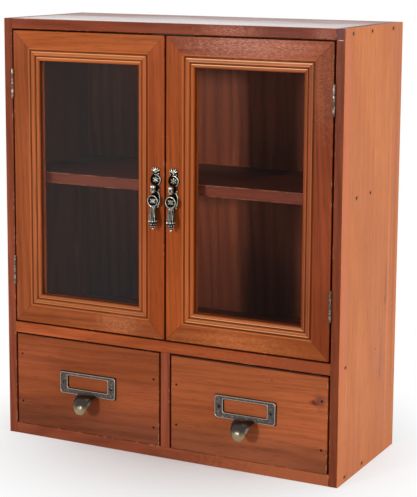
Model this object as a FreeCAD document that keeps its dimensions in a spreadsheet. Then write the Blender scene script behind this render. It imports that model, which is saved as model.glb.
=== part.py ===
"""Desktop cabinet with two glazed doors over two drawers.

The frame has +Z up and the front faces -Y. Its origin is the middle of the case's underside.
All sizes are in millimetres and angles in degrees.
"""
import FreeCAD, Part
import math
import operator
import os
import Sketcher

# Driving dimensions, each written once
SIZES = {
    # Case
    "width": 360.0,
    "depth": 145.0,
    "height": 420.0,
    "side_wall": 9.0,
    "top_wall": 10.0,
    "middle_wall": 10.8,
    "bottom_wall": 11.0,
    "shelf_wall": 10.8,
    "partition_wall": 9.6,
    "back_wall": 3.0,
    "back_lap": 4.5,
    "back_play": 0.3,
    "drawer_space": 94.4,
    "shelf_rise": 141.4,
    "shelf_setback": 16.0,
    "edge_bevel": 0.5,
    # Nails and pins of the case
    "nail_radius": 0.8,
    "nail_length": 18.0,
    "shelf_nail_lift": 2.2,
    "pin_radius": 0.7,
    "pin_length": 12.0,
    # Doors
    "door_side_gap": 2.0,
    "door_top_gap": 1.8,
    "door_bottom_gap": 2.0,
    "meeting_gap": 2.4,
    "door_wall": 14.0,
    "frame_width": 28.8,
    "flat_width": 16.8,
    "lip_width": 1.6,
    "groove_width": 0.8,
    "groove_depth": 1.5,
    "bead_width": 5.4,
    "bead_rise": 1.3,
    "small_bead_depth": 2.2,
    "small_bead_rise": 0.9,
    "glass_seat_depth": 5.4,
    "rebate_width": 6.0,
    "glass_wall": 2.0,
    "glass_play": 0.5,
    "strip_width": 5.4,
    "strip_inset": 0.6,
    "strip_bevel": 2.0,
    # Hinges
    "hinge_length": 29.0,
    "hinge_inset": 37.2,
    "hinge_reach": 1.3,
    "leaf_play": 0.2,
    "leaf_width": 11.0,
    "leaf_lift": 0.4,
    "knuckle_radius": 1.5,
    "knuckle_play": 0.2,
    "hinge_pin_radius": 0.7,
    "pin_play": 0.03,
    "screw_radius": 1.0,
    "screw_head_radius": 1.9,
    "screw_head_wall": 0.5,
    "leaf_screw_length": 7.0,
    # Magnetic catch
    "catch_width": 46.0,
    "catch_depth": 12.0,
    "catch_height": 14.0,
    "catch_gap": 0.3,
    "magnet_width": 10.0,
    "magnet_depth": 5.0,
    "magnet_height": 8.0,
    "magnet_drop": 9.0,
    "strike_reach": 16.0,
    "strike_width": 12.0,
    "strike_height": 10.0,
    "strike_wall": 1.0,
    "catch_screw_bite": 7.0,
    # Drop pulls on the doors
    "pull_inset": 8.4,
    "pull_rise": 148.0,
    "pull_reach": 6.5,
    "plate_wall": 1.6,
    "rosette_rise": 6.2,
    "rosette_radius": 5.7,
    "rosette_rim": 1.1,
    "rosette_boss": 2.6,
    "rosette_relief": 0.8,
    "leaf_root_rise": 10.6,
    "crown_leaf_length": 8.4,
    "crown_leaf_width": 2.8,
    "waist_width": 5.4,
    "loop_drop": 11.6,
    "loop_half_width": 5.2,
    "loop_half_height": 8.4,
    "loop_rim": 1.7,
    "tip_leaf_length": 4.4,
    "eye_radius": 2.1,
    "ear_wall": 1.0,
    "ear_play": 0.1,
    "ear_neck": 1.2,
    "cross_pin_radius": 0.8,
    "post_radius": 1.3,
    "tongue_half_height": 1.2,
    "post_collar_radius": 2.3,
    "post_collar_wall": 1.0,
    "post_bite": 10.0,
    "eye_clearance": 0.3,
    "collar_radius": 2.05,
    "collar_waist": 1.7,
    "collar_drop": 5.2,
    "collar_bevel": 0.6,
    "neck_radius": 1.0,
    "medallion_drop": 14.0,
    "medallion_wall": 1.8,
    "bell_top_drop": 19.6,
    "bell_top_radius": 1.5,
    "bell_middle_drop": 26.0,
    "bell_middle_radius": 2.0,
    "bell_drop": 31.4,
    "bell_radius": 3.5,
    "bulb_radius": 4.5,
    "bulb_top_drop": 32.4,
    "bulb_bottom_drop": 34.2,
    "cup_middle_drop": 35.8,
    "cup_middle_radius": 2.2,
    "cup_drop": 37.4,
    "finial_neck": 0.9,
    "finial_drop": 39.0,
    "finial_radius": 1.3,
    "finial_tip": 0.4,
    "pull_drop_length": 40.2,
    # Drawers
    "drawer_side_gap": 2.0,
    "drawer_lift": 0.3,
    "drawer_top_gap": 1.1,
    "drawer_back_gap": 0.6,
    "drawer_front_wall": 9.5,
    "drawer_side_wall": 9.0,
    "drawer_side_inset": 1.2,
    "drawer_side_drop": 6.0,
    "drawer_back_wall": 9.0,
    "drawer_bottom_wall": 3.0,
    "drawer_bottom_lift": 4.0,
    "drawer_groove": 3.0,
    "drawer_panel_play": 0.2,
    "drawer_nail_radius": 0.8,
    "drawer_nail_length": 24.0,
    # Label holders with finger scoops
    "holder_reach": 86.1,
    "holder_rise": 50.0,
    "holder_width": 63.2,
    "holder_height": 22.2,
    "holder_wall": 2.2,
    "holder_corner": 2.8,
    "holder_rim": 1.1,
    "holder_relief": 0.6,
    "window_width": 45.6,
    "window_height": 12.9,
    "window_lift": 1.2,
    "window_corner": 1.4,
    "card_lap": 1.8,
    "card_depth": 0.8,
    "holder_screw_inset": 4.4,
    "holder_screw_length": 8.0,
    "holder_screw_head": 0.9,
    "holder_screw_head_radius": 2.0,
    "scoop_root": 22.0,
    "scoop_reach": 17.0,
    "scoop_drop": 13.8,
    "scoop_wall": 1.4,
    "scoop_overlap": 0.7,
}

SIDES = ((-1, "left"), (1, "right"))
KNUCKLES = 3
CROWN_ANGLES = (-64, -32, 0, 32, 64)

# Flat sides round the nails, screws and turned pieces, and flutes round the drop's bell
NAIL_SIDES = 6
SCREW_SIDES = 8
TURNED_SIDES = 12
OVAL_SIDES = 20
ROSETTE_SIDES = 16
FLUTES = 8
FLUTE_SHARE = 0.16

# Where the nails stand, as shares of the board's depth or height
TOP_NAIL_SHARES = (0.122, 0.444, 0.820)
SHELF_NAIL_SHARES = (0.230, 0.470)
MIDDLE_NAIL_SHARES = (0.095, 0.620)
BOTTOM_NAIL_SHARES = (0.120, 0.420)
BACK_PIN_SHARES = (0.12, 0.38, 0.62, 0.88)
LEAF_SCREW_SHARES = (0.2, 0.8)
CATCH_SCREW_SHARES = (0.35, 0.65)
DRAWER_NAIL_SHARES = {
    "left_drawer": ((0.78, 0.25), (0.71, 0.19)),
    "right_drawer": ((0.69, 0.26), (0.74, 0.24)),
}
DRAWER_BACK_NAIL_SHARES = (0.3, 0.75)

# How wide a cast leaf is at even steps from its root to its tip
LEAF_WIDTH_SHARES = (0.75, 1.0, 0.7)

# The finger scoop from root to tip: turn from level to upright, width and crown
SCOOP_TURN_SHARES = (0.0, 0.2, 0.4, 0.6, 0.8, 1.0)
SCOOP_WIDTH_SHARES = (1.0, 0.91, 0.82, 0.70, 0.52, 0.20)
SCOOP_CROWN_SHARES = (0.12, 0.18, 0.23, 0.26, 0.26, 0.20)
SCOOP_ACROSS_SHARES = (-1.0, -0.55, 0.0, 0.55, 1.0)

OPERATIONS = {"+": operator.add, "-": operator.sub, "*": operator.mul, "/": operator.truediv}

doc = FreeCAD.newDocument("DesktopCabinet")
nodes = []


class Size:
    """A size of the sheet, or a sum of sizes: its number and the expression that gives it."""

    def __init__(self, number, text):
        self.number = number
        self.text = text

    def __add__(self, other):
        return combined(self, "+", other)

    def __radd__(self, other):
        return combined(other, "+", self)

    def __sub__(self, other):
        return combined(self, "-", other)

    def __rsub__(self, other):
        return combined(other, "-", self)

    def __mul__(self, other):
        return combined(self, "*", other)

    def __rmul__(self, other):
        return combined(other, "*", self)

    def __truediv__(self, other):
        return combined(self, "/", other)

    def __neg__(self):
        return combined(0, "-", self)


def as_size(value):
    return value if isinstance(value, Size) else Size(value, repr(value))


def combined(left, sign, right):
    left = as_size(left)
    right = as_size(right)
    number = OPERATIONS[sign](left.number, right.number)
    return Size(number, f"({left.text} {sign} {right.text})")


class Sheet:
    """The spreadsheet of driving dimensions, read by name."""

    def __init__(self, sizes):
        self.cells = doc.addObject("Spreadsheet::Sheet", "Sizes")
        for row, (name, number) in enumerate(sizes.items(), 1):
            self.cells.set(f"A{row}", name)
            self.cells.set(f"B{row}", str(number))
            self.cells.setAlias(f"B{row}", name)
            setattr(self, name, Size(number, f"Sizes.{name}"))
        doc.recompute()


S = Sheet(SIZES)
front = -(S.depth / 2)
back = S.depth / 2
inner_side = S.width / 2 - S.side_wall
board_depth = S.depth - S.back_wall
middle_bottom = S.bottom_wall + S.drawer_space
middle_top = middle_bottom + S.middle_wall
top_bottom = S.height - S.top_wall
shelf_bottom = middle_top + S.shelf_rise
door_bottom = middle_top + S.door_bottom_gap
door_top = top_bottom - S.door_top_gap
small_bead_width = S.frame_width - S.flat_width - S.lip_width - S.groove_width - S.bead_width
drawer_front_height = S.drawer_space - S.drawer_lift - S.drawer_top_gap
drawer_length = board_depth - S.drawer_back_gap
relief_wall = S.plate_wall + S.rosette_relief


def bind(target, path, size):
    """Tie a property to the sheet. A size of zero is the property's own default."""
    size = as_size(size)
    if size.text != "0":
        target.setExpression(path, size.text)


def place(target, corner, turn=None):
    """Stand an object at a corner, turned first where it needs to be."""
    if turn:
        target.Placement = FreeCAD.Placement(FreeCAD.Vector(), turn)
    for axis, size in zip("xyz", corner):
        bind(target, "Placement.Base." + axis, size)


def node(target, name):
    """Name a finished sub-part, which gets a file of its own."""
    target.Label = name
    nodes.append(target)
    return target


def block(name, one, other):
    """A box between two opposite corners."""
    solid = doc.addObject("Part::Box", name)
    for side, axis, a, b in zip(("Length", "Width", "Height"), "xyz", one, other):
        low, high = sorted((as_size(a), as_size(b)), key=lambda size: size.number)
        bind(solid, side, high - low)
        bind(solid, "Placement.Base." + axis, low)
    return solid


def along(direction):
    """The turn that lays an upright axis along a direction."""
    return FreeCAD.Rotation(FreeCAD.Vector(0, 0, 1), FreeCAD.Vector(*direction))


def rod(name, sides, start, direction, radius, length):
    """A straight bar with flat sides, from its start along a direction."""
    solid = doc.addObject("Part::Prism", name)
    solid.Polygon = sides
    bind(solid, "Circumradius", radius)
    bind(solid, "Height", length)
    place(solid, start, along(direction))
    return solid


def round_pin(name, start, direction, radius, length):
    pin = doc.addObject("Part::Cylinder", name)
    bind(pin, "Radius", radius)
    bind(pin, "Height", length)
    place(pin, start, along(direction))
    return pin


def pin_bore(name, start, direction, pin_radius, length):
    """A bore whose flat sides clear a round pin all round."""
    radius = (pin_radius + S.pin_play) / math.cos(math.pi / TURNED_SIDES)
    return rod(name, TURNED_SIDES, start, direction, radius, length)


def screw(name, start, direction, head_radius, head_wall, length):
    """A screw from the top of its flat head along a direction."""
    head = rod(name + "_head", SCREW_SIDES, start, direction, head_radius, head_wall)
    shank = rod(name + "_shank", SCREW_SIDES, start, direction, S.screw_radius, length)
    return fuse(name, [head, shank])


def flat_faced_solid(rings):
    """A closed solid with flat faces, through rings of equally many points."""
    faces = [Part.Face(Part.makePolygon(ring + ring[:1])) for ring in (rings[0], rings[-1])]
    for ring, following in zip(rings, rings[1:]):
        for number, corner in enumerate(ring):
            turn = (number + 1) % len(ring)
            for one, other in ((ring[turn], following[turn]), (following[turn], following[number])):
                faces.append(Part.Face(Part.makePolygon([corner, one, other, corner])))
    return Part.makeSolid(Part.makeShell(faces)).removeSplitter()


def group(name, solids):
    gathered = doc.addObject("Part::Compound", name)
    gathered.Links = solids
    return gathered


def fuse(name, solids):
    joined = doc.addObject("Part::MultiFuse", name)
    joined.Shapes = solids
    return joined


def cut(name, base, tools):
    """A sub-part with the space of its tools taken out."""
    remainder = doc.addObject("Part::Cut", name)
    remainder.Base = base
    remainder.Tool = tools[0] if len(tools) == 1 else group(name + "_tools", tools)
    return remainder


def new_body(name):
    return doc.addObject("PartDesign::Body", name)


def new_sketch(body, role, lift=0):
    """A sketch on one of the body's own planes, lifted along the plane's normal."""
    sketch = body.newObject("Sketcher::SketchObject", body.Name + "_sketch")
    plane = next(feature for feature in body.Origin.OriginFeatures if feature.Role == role)
    sketch.AttachmentSupport = [(plane, "")]
    sketch.MapMode = "FlatFace"
    bind(sketch, "AttachmentOffset.Base.z", lift)
    return sketch


def pad(body, sketch, length):
    feature = body.newObject("PartDesign::Pad", body.Name + "_pad")
    feature.Profile = sketch
    bind(feature, "Length", length)
    return feature


def pocket(body, sketch, depth=None, reverse=False):
    """A cut as deep as stated, or right through both ways."""
    feature = body.newObject("PartDesign::Pocket", body.Name + "_pocket")
    feature.Profile = sketch
    feature.Reversed = reverse
    if depth:
        bind(feature, "Length", depth)
    else:
        feature.Type = "ThroughAll"
        feature.SideType = "Symmetric"
    return feature


def bevel(body, seams, size):
    """Bevel the edges where two sides of the body's box meet, such as front and top."""
    doc.recompute()
    base = body.Tip
    shape = base.Shape
    box = shape.BoundBox
    sides = {
        "left": ("x", box.XMin), "right": ("x", box.XMax), "front": ("y", box.YMin),
        "back": ("y", box.YMax), "bottom": ("z", box.ZMin), "top": ("z", box.ZMax),
    }

    def lies_on(edge, side):
        axis, level = sides[side]
        return all(math.isclose(getattr(vertex.Point, axis), level, abs_tol=1e-6)
                   for vertex in edge.Vertexes)

    names = [f"Edge{number}" for number, edge in enumerate(shape.Edges, 1)
             if any(lies_on(edge, one) and lies_on(edge, other) for one, other in seams)]
    feature = body.newObject("PartDesign::Chamfer", body.Name + "_bevel")
    feature.Base = (base, names)
    bind(feature, "Size", size)
    return feature


def point(pair):
    return FreeCAD.Vector(as_size(pair[0]).number, as_size(pair[1]).number, 0)


def arc_on(start, end, radius):
    """The short arc from start to end, turning left about its centre."""
    chord = end - start
    reach = math.sqrt(max(radius ** 2 - chord.Length ** 2 / 4, 0))
    left = FreeCAD.Vector(-chord.y, chord.x, 0).normalize()
    centre = (start + end) / 2 + left * reach
    circle = Part.Circle(centre, FreeCAD.Vector(0, 0, 1), radius)
    angles = [math.atan2(end_point.y - centre.y, end_point.x - centre.x) for end_point in (start, end)]
    return Part.ArcOfCircle(circle, *angles)


def outline(sketch, points, bulges=None, hollows=None):
    """Close an outline round its points, counter-clockwise.

    Bulges and hollows give the radius of the arc that leaves a point, by the point's number.
    """
    bulges = bulges or {}
    hollows = hollows or {}
    first = sketch.GeometryCount
    ends = []
    for number, start in enumerate(points):
        start = point(start)
        end = point(points[(number + 1) % len(points)])
        if number in bulges:
            curve = arc_on(start, end, bulges[number].number)
        elif number in hollows:
            curve = arc_on(end, start, hollows[number].number)
        else:
            curve = Part.LineSegment(start, end)
        sketch.addGeometry(curve, False)
        ends.append((2, 1) if number in hollows else (1, 2))
    for number, pair in enumerate(points):
        edge = first + number
        following = (number + 1) % len(points)
        sketch.addConstraint(Sketcher.Constraint(
            "Coincident", edge, ends[number][1], first + following, ends[following][0]))
        for kind, axis, size in (("DistanceX", -2, pair[0]), ("DistanceY", -1, pair[1])):
            fix_place(sketch, kind, axis, edge, ends[number][0], as_size(size))
        radius = bulges.get(number) or hollows.get(number)
        if radius:
            index = sketch.addConstraint(Sketcher.Constraint("Radius", edge, radius.number))
            bind(sketch, f"Constraints[{index}]", radius)


def fix_place(sketch, kind, axis, edge, end, size):
    """Tie one coordinate of an edge's end to the sheet, or to the axis where it is zero."""
    if size.text == "0":
        sketch.addConstraint(Sketcher.Constraint("PointOnObject", edge, end, axis))
        return
    index = sketch.addConstraint(Sketcher.Constraint(kind, edge, end, size.number))
    bind(sketch, f"Constraints[{index}]", size)


def rectangle(sketch, low, high):
    outline(sketch, [(low[0], low[1]), (high[0], low[1]), (high[0], high[1]), (low[0], high[1])])


def clipped_rectangle(sketch, low, high, corner):
    """A rectangle with its four corners cut off."""
    outline(sketch, [
        (low[0] + corner, low[1]), (high[0] - corner, low[1]),
        (high[0], low[1] + corner), (high[0], high[1] - corner),
        (high[0] - corner, high[1]), (low[0] + corner, high[1]),
        (low[0], high[1] - corner), (low[0], low[1] + corner),
    ])


def arch(run, fall, rise):
    """The radius of an arc over a chord, from how far the chord runs and falls and the arc's rise."""
    return (run * run + fall * fall) / rise / 8 + rise / 2


def board(name, low, high, seams=()):
    """A flat board between two corners, with the seams named between its sides bevelled."""
    body = new_body(name)
    sketch = new_sketch(body, "XY_Plane")
    rectangle(sketch, (0, 0), (high[0] - low[0], high[1] - low[1]))
    pad(body, sketch, high[2] - low[2])
    if seams:
        bevel(body, seams, S.edge_bevel)
    place(body, low)
    return body


FRONT_SEAMS = (("front", "top"), ("front", "bottom"))


# Case
def side_nails(name, side, level, shares):
    """Nails through a side panel into the end of a board at one level."""
    nails = []
    for number, share in enumerate(shares):
        start = (side * (S.width / 2), front + S.depth * share, level)
        nails.append(rod(f"{name}_nail_{number}", NAIL_SIDES, start, (-side, 0, 0),
                         S.nail_radius, S.nail_length))
    return nails


def back_pins():
    """Pins through the back panel into the boards behind it."""
    levels = {
        "top": S.height - S.top_wall / 2,
        "middle": middle_bottom + S.middle_wall / 2,
        "bottom": S.bottom_wall / 2,
    }
    pins = []
    for level_name, level in levels.items():
        for number, share in enumerate(BACK_PIN_SHARES):
            start = (-inner_side + inner_side * (2 * share), back, level)
            pins.append(rod(f"back_pin_{level_name}_{number}", NAIL_SIDES, start, (0, -1, 0),
                            S.pin_radius, S.pin_length))
    return pins


def case_side_blank(name, side):
    """An upright side panel with a rebate behind for the back panel."""
    body = new_body(name + "_blank")
    sketch = new_sketch(body, "XY_Plane")
    outer = side * S.side_wall
    step = side * S.back_lap
    corners = [(0, 0), (outer, 0), (outer, S.depth), (step, S.depth), (step, board_depth), (0, board_depth)]
    outline(sketch, corners if side > 0 else corners[::-1])
    pad(body, sketch, S.height)
    outer_name = "right" if side > 0 else "left"
    bevel(body, (("front", "left"), ("front", "right"), (outer_name, "top")), S.edge_bevel)
    place(body, (side * inner_side, front, 0))
    return body


def case_boards(nails):
    """The level boards between the sides. Nails are a dictionary of board name to its nails."""
    levels = {
        "top_panel": (top_bottom, S.height, 0),
        "shelf": (shelf_bottom, shelf_bottom + S.shelf_wall, S.shelf_setback),
        "middle_board": (middle_bottom, middle_top, 0),
        "bottom_board": (0, S.bottom_wall, 0),
    }
    for name, (low, high, setback) in levels.items():
        blank = board(name + "_blank", (-inner_side, front + setback, low),
                      (inner_side, front + board_depth, high), FRONT_SEAMS)
        node(cut(name, blank, nails[name]), name)
    half = S.partition_wall / 2
    upright = board("drawer_partition", (-half, front, S.bottom_wall),
                    (half, front + board_depth, middle_bottom), (("front", "left"), ("front", "right")))
    node(upright, "drawer_partition")


def case(catch_screws):
    """The boards, back panel and nails. Gives each side panel's nails, by side."""
    boards = {
        "top_panel": (S.height - S.top_wall / 2, TOP_NAIL_SHARES),
        "shelf": (shelf_bottom + S.shelf_wall / 2 + S.shelf_nail_lift, SHELF_NAIL_SHARES),
        "middle_board": (middle_bottom + S.middle_wall / 2, MIDDLE_NAIL_SHARES),
        "bottom_board": (S.bottom_wall / 2, BOTTOM_NAIL_SHARES),
    }
    by_side = {-1: [], 1: []}
    by_board = {name: [] for name in boards}
    for name, (level, shares) in boards.items():
        for side, side_name in SIDES:
            nails = side_nails(f"{name}_{side_name}", side, level, shares)
            by_side[side] += nails
            by_board[name] += nails
    pins = back_pins()
    by_level = len(BACK_PIN_SHARES)
    by_board["top_panel"] += pins[:by_level] + catch_screws
    by_board["middle_board"] += pins[by_level:2 * by_level]
    by_board["bottom_board"] += pins[2 * by_level:]
    case_boards(by_board)
    lap = inner_side + S.back_lap - S.back_play
    sheet = board("back_panel_blank", (-lap, front + board_depth, 0), (lap, back, S.height))
    node(cut("back_panel", sheet, pins), "back_panel")
    node(group("carcass_nails", by_side[-1] + by_side[1] + pins), "carcass_nails")
    return by_side


# Magnetic catch under the top panel
def catch_fixings():
    """The screws that hold the catch up to the top panel."""
    level = front + S.door_wall + S.strike_wall + S.catch_gap + S.catch_depth / 2
    return [screw(f"catch_screw_{number}",
                  (S.catch_width * share - S.catch_width / 2, level, top_bottom - S.catch_height),
                  (0, 0, 1), S.screw_head_radius, S.screw_head_wall, S.catch_height + S.catch_screw_bite)
            for number, share in enumerate(CATCH_SCREW_SHARES)]


def catch(screws):
    """A housing with a magnet for each door."""
    near = front + S.door_wall + S.strike_wall + S.catch_gap
    low = top_bottom - S.catch_height
    half = S.catch_width / 2
    shell = block("catch_shell", (-half, near, low), (half, near + S.catch_depth, top_bottom))
    magnets = []
    for side, side_name in SIDES:
        middle = side * S.strike_reach
        level = top_bottom - S.magnet_drop
        magnets.append(block(
            side_name + "_magnet", (middle - S.magnet_width / 2, near, level - S.magnet_height / 2),
            (middle + S.magnet_width / 2, near + S.magnet_depth, level + S.magnet_height / 2)))
    node(cut("catch_housing", shell, magnets + screws), "catch_housing")
    node(group("catch_magnets", magnets), "catch_magnets")


# Hinges
def leaf_screw(name, side, outward, level):
    """The screw through a hinge leaf. Outward is 1 into the case, -1 into the door."""
    axis = side * (inner_side - S.door_side_gap / 2)
    way = side * outward
    start = (axis + way * (S.leaf_play / 2), front + S.leaf_lift + S.leaf_width / 2, level)
    return screw(name, start, (way, 0, 0), S.screw_head_radius, S.screw_head_wall, S.leaf_screw_length)


def hinge_leaf(name, side, outward, base, screws):
    """A flat leaf in the gap with its own knuckles: the case leaf has the outer and middle ones."""
    axis = side * (inner_side - S.door_side_gap / 2)
    way = side * outward
    near = axis + way * (S.leaf_play / 2)
    far = axis + way * (S.door_side_gap / 2)
    level = front - S.hinge_reach
    pitch = (S.hinge_length + S.knuckle_play) / KNUCKLES
    pieces = [block(name + "_plate", (near, front + S.leaf_lift, base),
                    (far, front + S.leaf_lift + S.leaf_width, base + S.hinge_length))]
    for number in range(0 if outward > 0 else 1, KNUCKLES, 2):
        low = base + pitch * number
        high = low + pitch - S.knuckle_play
        pieces.append(rod(f"{name}_knuckle_{number}", TURNED_SIDES, (axis, level, low), (0, 0, 1),
                          S.knuckle_radius, pitch - S.knuckle_play))
        pieces.append(block(f"{name}_tab_{number}", (near, level, low), (far, front + S.leaf_lift, high)))
    bore = pin_bore(name + "_bore", (axis, level, base), (0, 0, 1), S.hinge_pin_radius, S.hinge_length)
    return node(cut(name, fuse(name + "_blank", pieces), [bore] + screws), name)


def hinge_pin(name, side, base):
    axis = side * (inner_side - S.door_side_gap / 2)
    start = (axis, front - S.hinge_reach, base)
    return round_pin(name, start, (0, 0, 1), S.hinge_pin_radius, S.hinge_length)


def hinges(side, side_name):
    """Both hinges of a door. Gives the pins, the case screws and the door screws."""
    pins = []
    case_screws = []
    door_screws = []
    bases = {"upper": door_top - S.hinge_inset - S.hinge_length, "lower": door_bottom + S.hinge_inset}
    for level_name, base in bases.items():
        for part_name, outward, store in (("case", 1, case_screws), ("door", -1, door_screws)):
            name = f"{side_name}_{level_name}_hinge_{part_name}_leaf"
            screws = [leaf_screw(f"{name}_screw_{number}", side, outward, base + S.hinge_length * share)
                      for number, share in enumerate(LEAF_SCREW_SHARES)]
            hinge_leaf(name, side, outward, base, screws)
            store += screws
        pins.append(hinge_pin(f"{side_name}_{level_name}_hinge_pin", side, base))
    return pins, case_screws, door_screws


# Doors
def frame_section():
    """The moulded section of a door frame member: across from its outer edge, and back from its face."""
    lip_end = S.flat_width + S.lip_width
    bead_start = lip_end + S.groove_width
    bead_end = bead_start + S.bead_width
    rebate_side = S.frame_width - S.rebate_width
    points = [
        (0, S.edge_bevel), (S.edge_bevel, 0), (S.flat_width, 0), (lip_end, S.groove_depth),
        (bead_start, S.groove_depth), (bead_end, S.groove_depth),
        (S.frame_width, S.small_bead_depth), (S.frame_width, S.glass_seat_depth),
        (rebate_side, S.glass_seat_depth), (rebate_side, S.door_wall), (0, S.door_wall),
    ]
    bulges = {
        4: arch(S.bead_width, as_size(0), S.bead_rise),
        5: arch(small_bead_width, S.small_bead_depth - S.groove_depth, S.small_bead_rise),
    }
    return points, bulges


def strip_section():
    """A glazing strip behind the glass, with its inner back corner bevelled."""
    near = S.glass_seat_depth + S.glass_wall
    far = S.door_wall - S.strip_inset
    points = [(0, near), (S.strip_width, near), (S.strip_width, far - S.strip_bevel),
              (S.strip_width - S.strip_bevel, far), (0, far)]
    return points, {}


def mitred_member(name, section, width, length, corner, angle):
    """A length of moulding mitred at both ends, turned about Y so that its outer edge lies on a side."""
    body = new_body(name)
    sketch = new_sketch(body, "XY_Plane")
    points, bulges = section
    outline(sketch, points, bulges=bulges)
    pad(body, sketch, length)
    ends = new_sketch(body, "XZ_Plane")
    outline(ends, [(0, 0), (width, 0), (width, width)])
    outline(ends, [(0, length), (width, length - width), (width, length)])
    pocket(body, ends)
    place(body, corner, FreeCAD.Rotation(FreeCAD.Vector(0, 1, 0), angle))
    return body


def mitred_frame(name, section, width, low, high):
    """Four mitred members round a rectangle, by the side that each lies on."""
    return {
        "left": mitred_member(name + "_left", section, width, high[1] - low[1], (low[0], front, low[1]), 0),
        "right": mitred_member(name + "_right", section, width, high[1] - low[1],
                               (high[0], front, high[1]), 180),
        "top": mitred_member(name + "_top", section, width, high[0] - low[0], (low[0], front, high[1]), 90),
        "bottom": mitred_member(name + "_bottom", section, width, high[0] - low[0],
                                (high[0], front, low[1]), -90),
    }


def door(side, side_name, hinge_screws):
    outer = side * (inner_side - S.door_side_gap)
    inner = side * (S.meeting_gap / 2)
    left, right = sorted((outer, inner), key=lambda size: size.number)
    low = (left, door_bottom)
    high = (right, door_top)
    blanks = mitred_frame(side_name + "_frame", frame_section(), S.frame_width, low, high)
    hinge_side, meeting_side = ("left", "right") if side < 0 else ("right", "left")
    name = side_name + "_door_"
    strike, strike_screw = strike_plate(side, name)
    post_hole = pull(side, side_name)
    node(cut(name + "hinge_stile", blanks[hinge_side], hinge_screws), name + "hinge_stile")
    node(cut(name + "meeting_stile", blanks[meeting_side], [post_hole]), name + "meeting_stile")
    node(cut(name + "top_rail", blanks["top"], [strike_screw]), name + "top_rail")
    node(blanks["bottom"], name + "bottom_rail")
    node(cut(name + "strike_plate", strike, [strike_screw]), name + "strike_plate")
    node(group(name + "screws", hinge_screws + [strike_screw]), name + "screws")
    glazing(name, low, high)


def glazing(name, low, high):
    """The pane in the frame's rebate, and the four strips behind it."""
    rebate = S.frame_width - S.rebate_width
    edge = rebate + S.glass_play
    near = front + S.glass_seat_depth
    pane = block(name + "glass", (low[0] + edge, near, low[1] + edge),
                 (high[0] - edge, near + S.glass_wall, high[1] - edge))
    node(pane, name + "glass")
    strips = mitred_frame(name + "strip", strip_section(), S.strip_width,
                          (low[0] + rebate, low[1] + rebate), (high[0] - rebate, high[1] - rebate))
    node(group(name + "glazing_strips", list(strips.values())), name + "glazing_strips")


def strike_plate(side, name):
    """The steel plate that meets the magnet, on the back of the door, with its screw."""
    middle = side * S.strike_reach
    near = front + S.door_wall
    level = top_bottom - S.magnet_drop
    plate = block(name + "strike_blank",
                  (middle - S.strike_width / 2, near, level - S.strike_height / 2),
                  (middle + S.strike_width / 2, near + S.strike_wall, level + S.strike_height / 2))
    start = (middle, near + S.strike_wall, level)
    return plate, screw(name + "strike_screw", start, (0, -1, 0),
                        S.screw_head_radius, S.screw_head_wall, S.leaf_screw_length)


# Drop pulls
def pull(side, side_name):
    """Backplate, post and drop of one door. Gives the post, which the door makes room for."""
    middle = side * (S.meeting_gap / 2 + S.pull_inset)
    level = door_bottom + S.pull_rise
    name = side_name + "_pull_"
    pivot = (middle, front - S.pull_reach, level)
    stem = post_stem(name, pivot)
    backplate(name, middle, level, stem)
    pull_post(name, pivot, stem)
    pull_drop(name, pivot)
    return stem


def ring_of_points(level, radius, count, flute_share=0):
    """Points round an upright axis, every other one drawn in by a share of the radius."""
    points = []
    for number in range(count):
        turn = 2 * math.pi * number / count
        reach = radius * (1 - flute_share * (number % 2))
        points.append(FreeCAD.Vector(reach * math.cos(turn), reach * math.sin(turn), level))
    return points


def rosette(name, centre, wall):
    """A round cast boss that faces forward, with a raised rim, a hollow and a raised middle."""
    relief = wall + S.rosette_relief
    steps = [
        (as_size(0), S.rosette_radius), (wall, S.rosette_radius),
        (relief, S.rosette_radius - S.rosette_rim / 2), (wall, S.rosette_radius - S.rosette_rim),
        (relief, S.rosette_boss),
    ]
    boss = doc.addObject("Part::Feature", name)
    boss.Shape = flat_faced_solid([ring_of_points(rise.number, radius.number, ROSETTE_SIDES)
                                   for rise, radius in steps])
    place(boss, centre, along((0, -1, 0)))
    return boss


def flat_shape(points, wall):
    """A flat plate with the outline of the points, raised by its wall."""
    wire = Part.makePolygon(points + points[:1])
    return Part.Face(wire).extrude(FreeCAD.Vector(0, 0, wall))


def leaf_shape(root, tip, width, wall):
    """A cast leaf between two points, pointed at both ends."""
    step = (tip - root) / (len(LEAF_WIDTH_SHARES) + 1)
    across = FreeCAD.Vector(-step.y, step.x, 0).normalize() * (width / 2)
    stations = [(root + step * number, across * share) for number, share in enumerate(LEAF_WIDTH_SHARES, 1)]
    one_edge = [middle - reach for middle, reach in stations]
    other_edge = [middle + reach for middle, reach in reversed(stations)]
    return flat_shape([root] + one_edge + [tip] + other_edge, wall)


def oval_shape(centre, half_width, half_height, wall):
    """An upright oval plate."""
    turns = [2 * math.pi * number / OVAL_SIDES for number in range(OVAL_SIDES)]
    points = [centre + FreeCAD.Vector(half_width * math.cos(turn), half_height * math.sin(turn), 0)
              for turn in turns]
    return flat_shape(points, wall)


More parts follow.
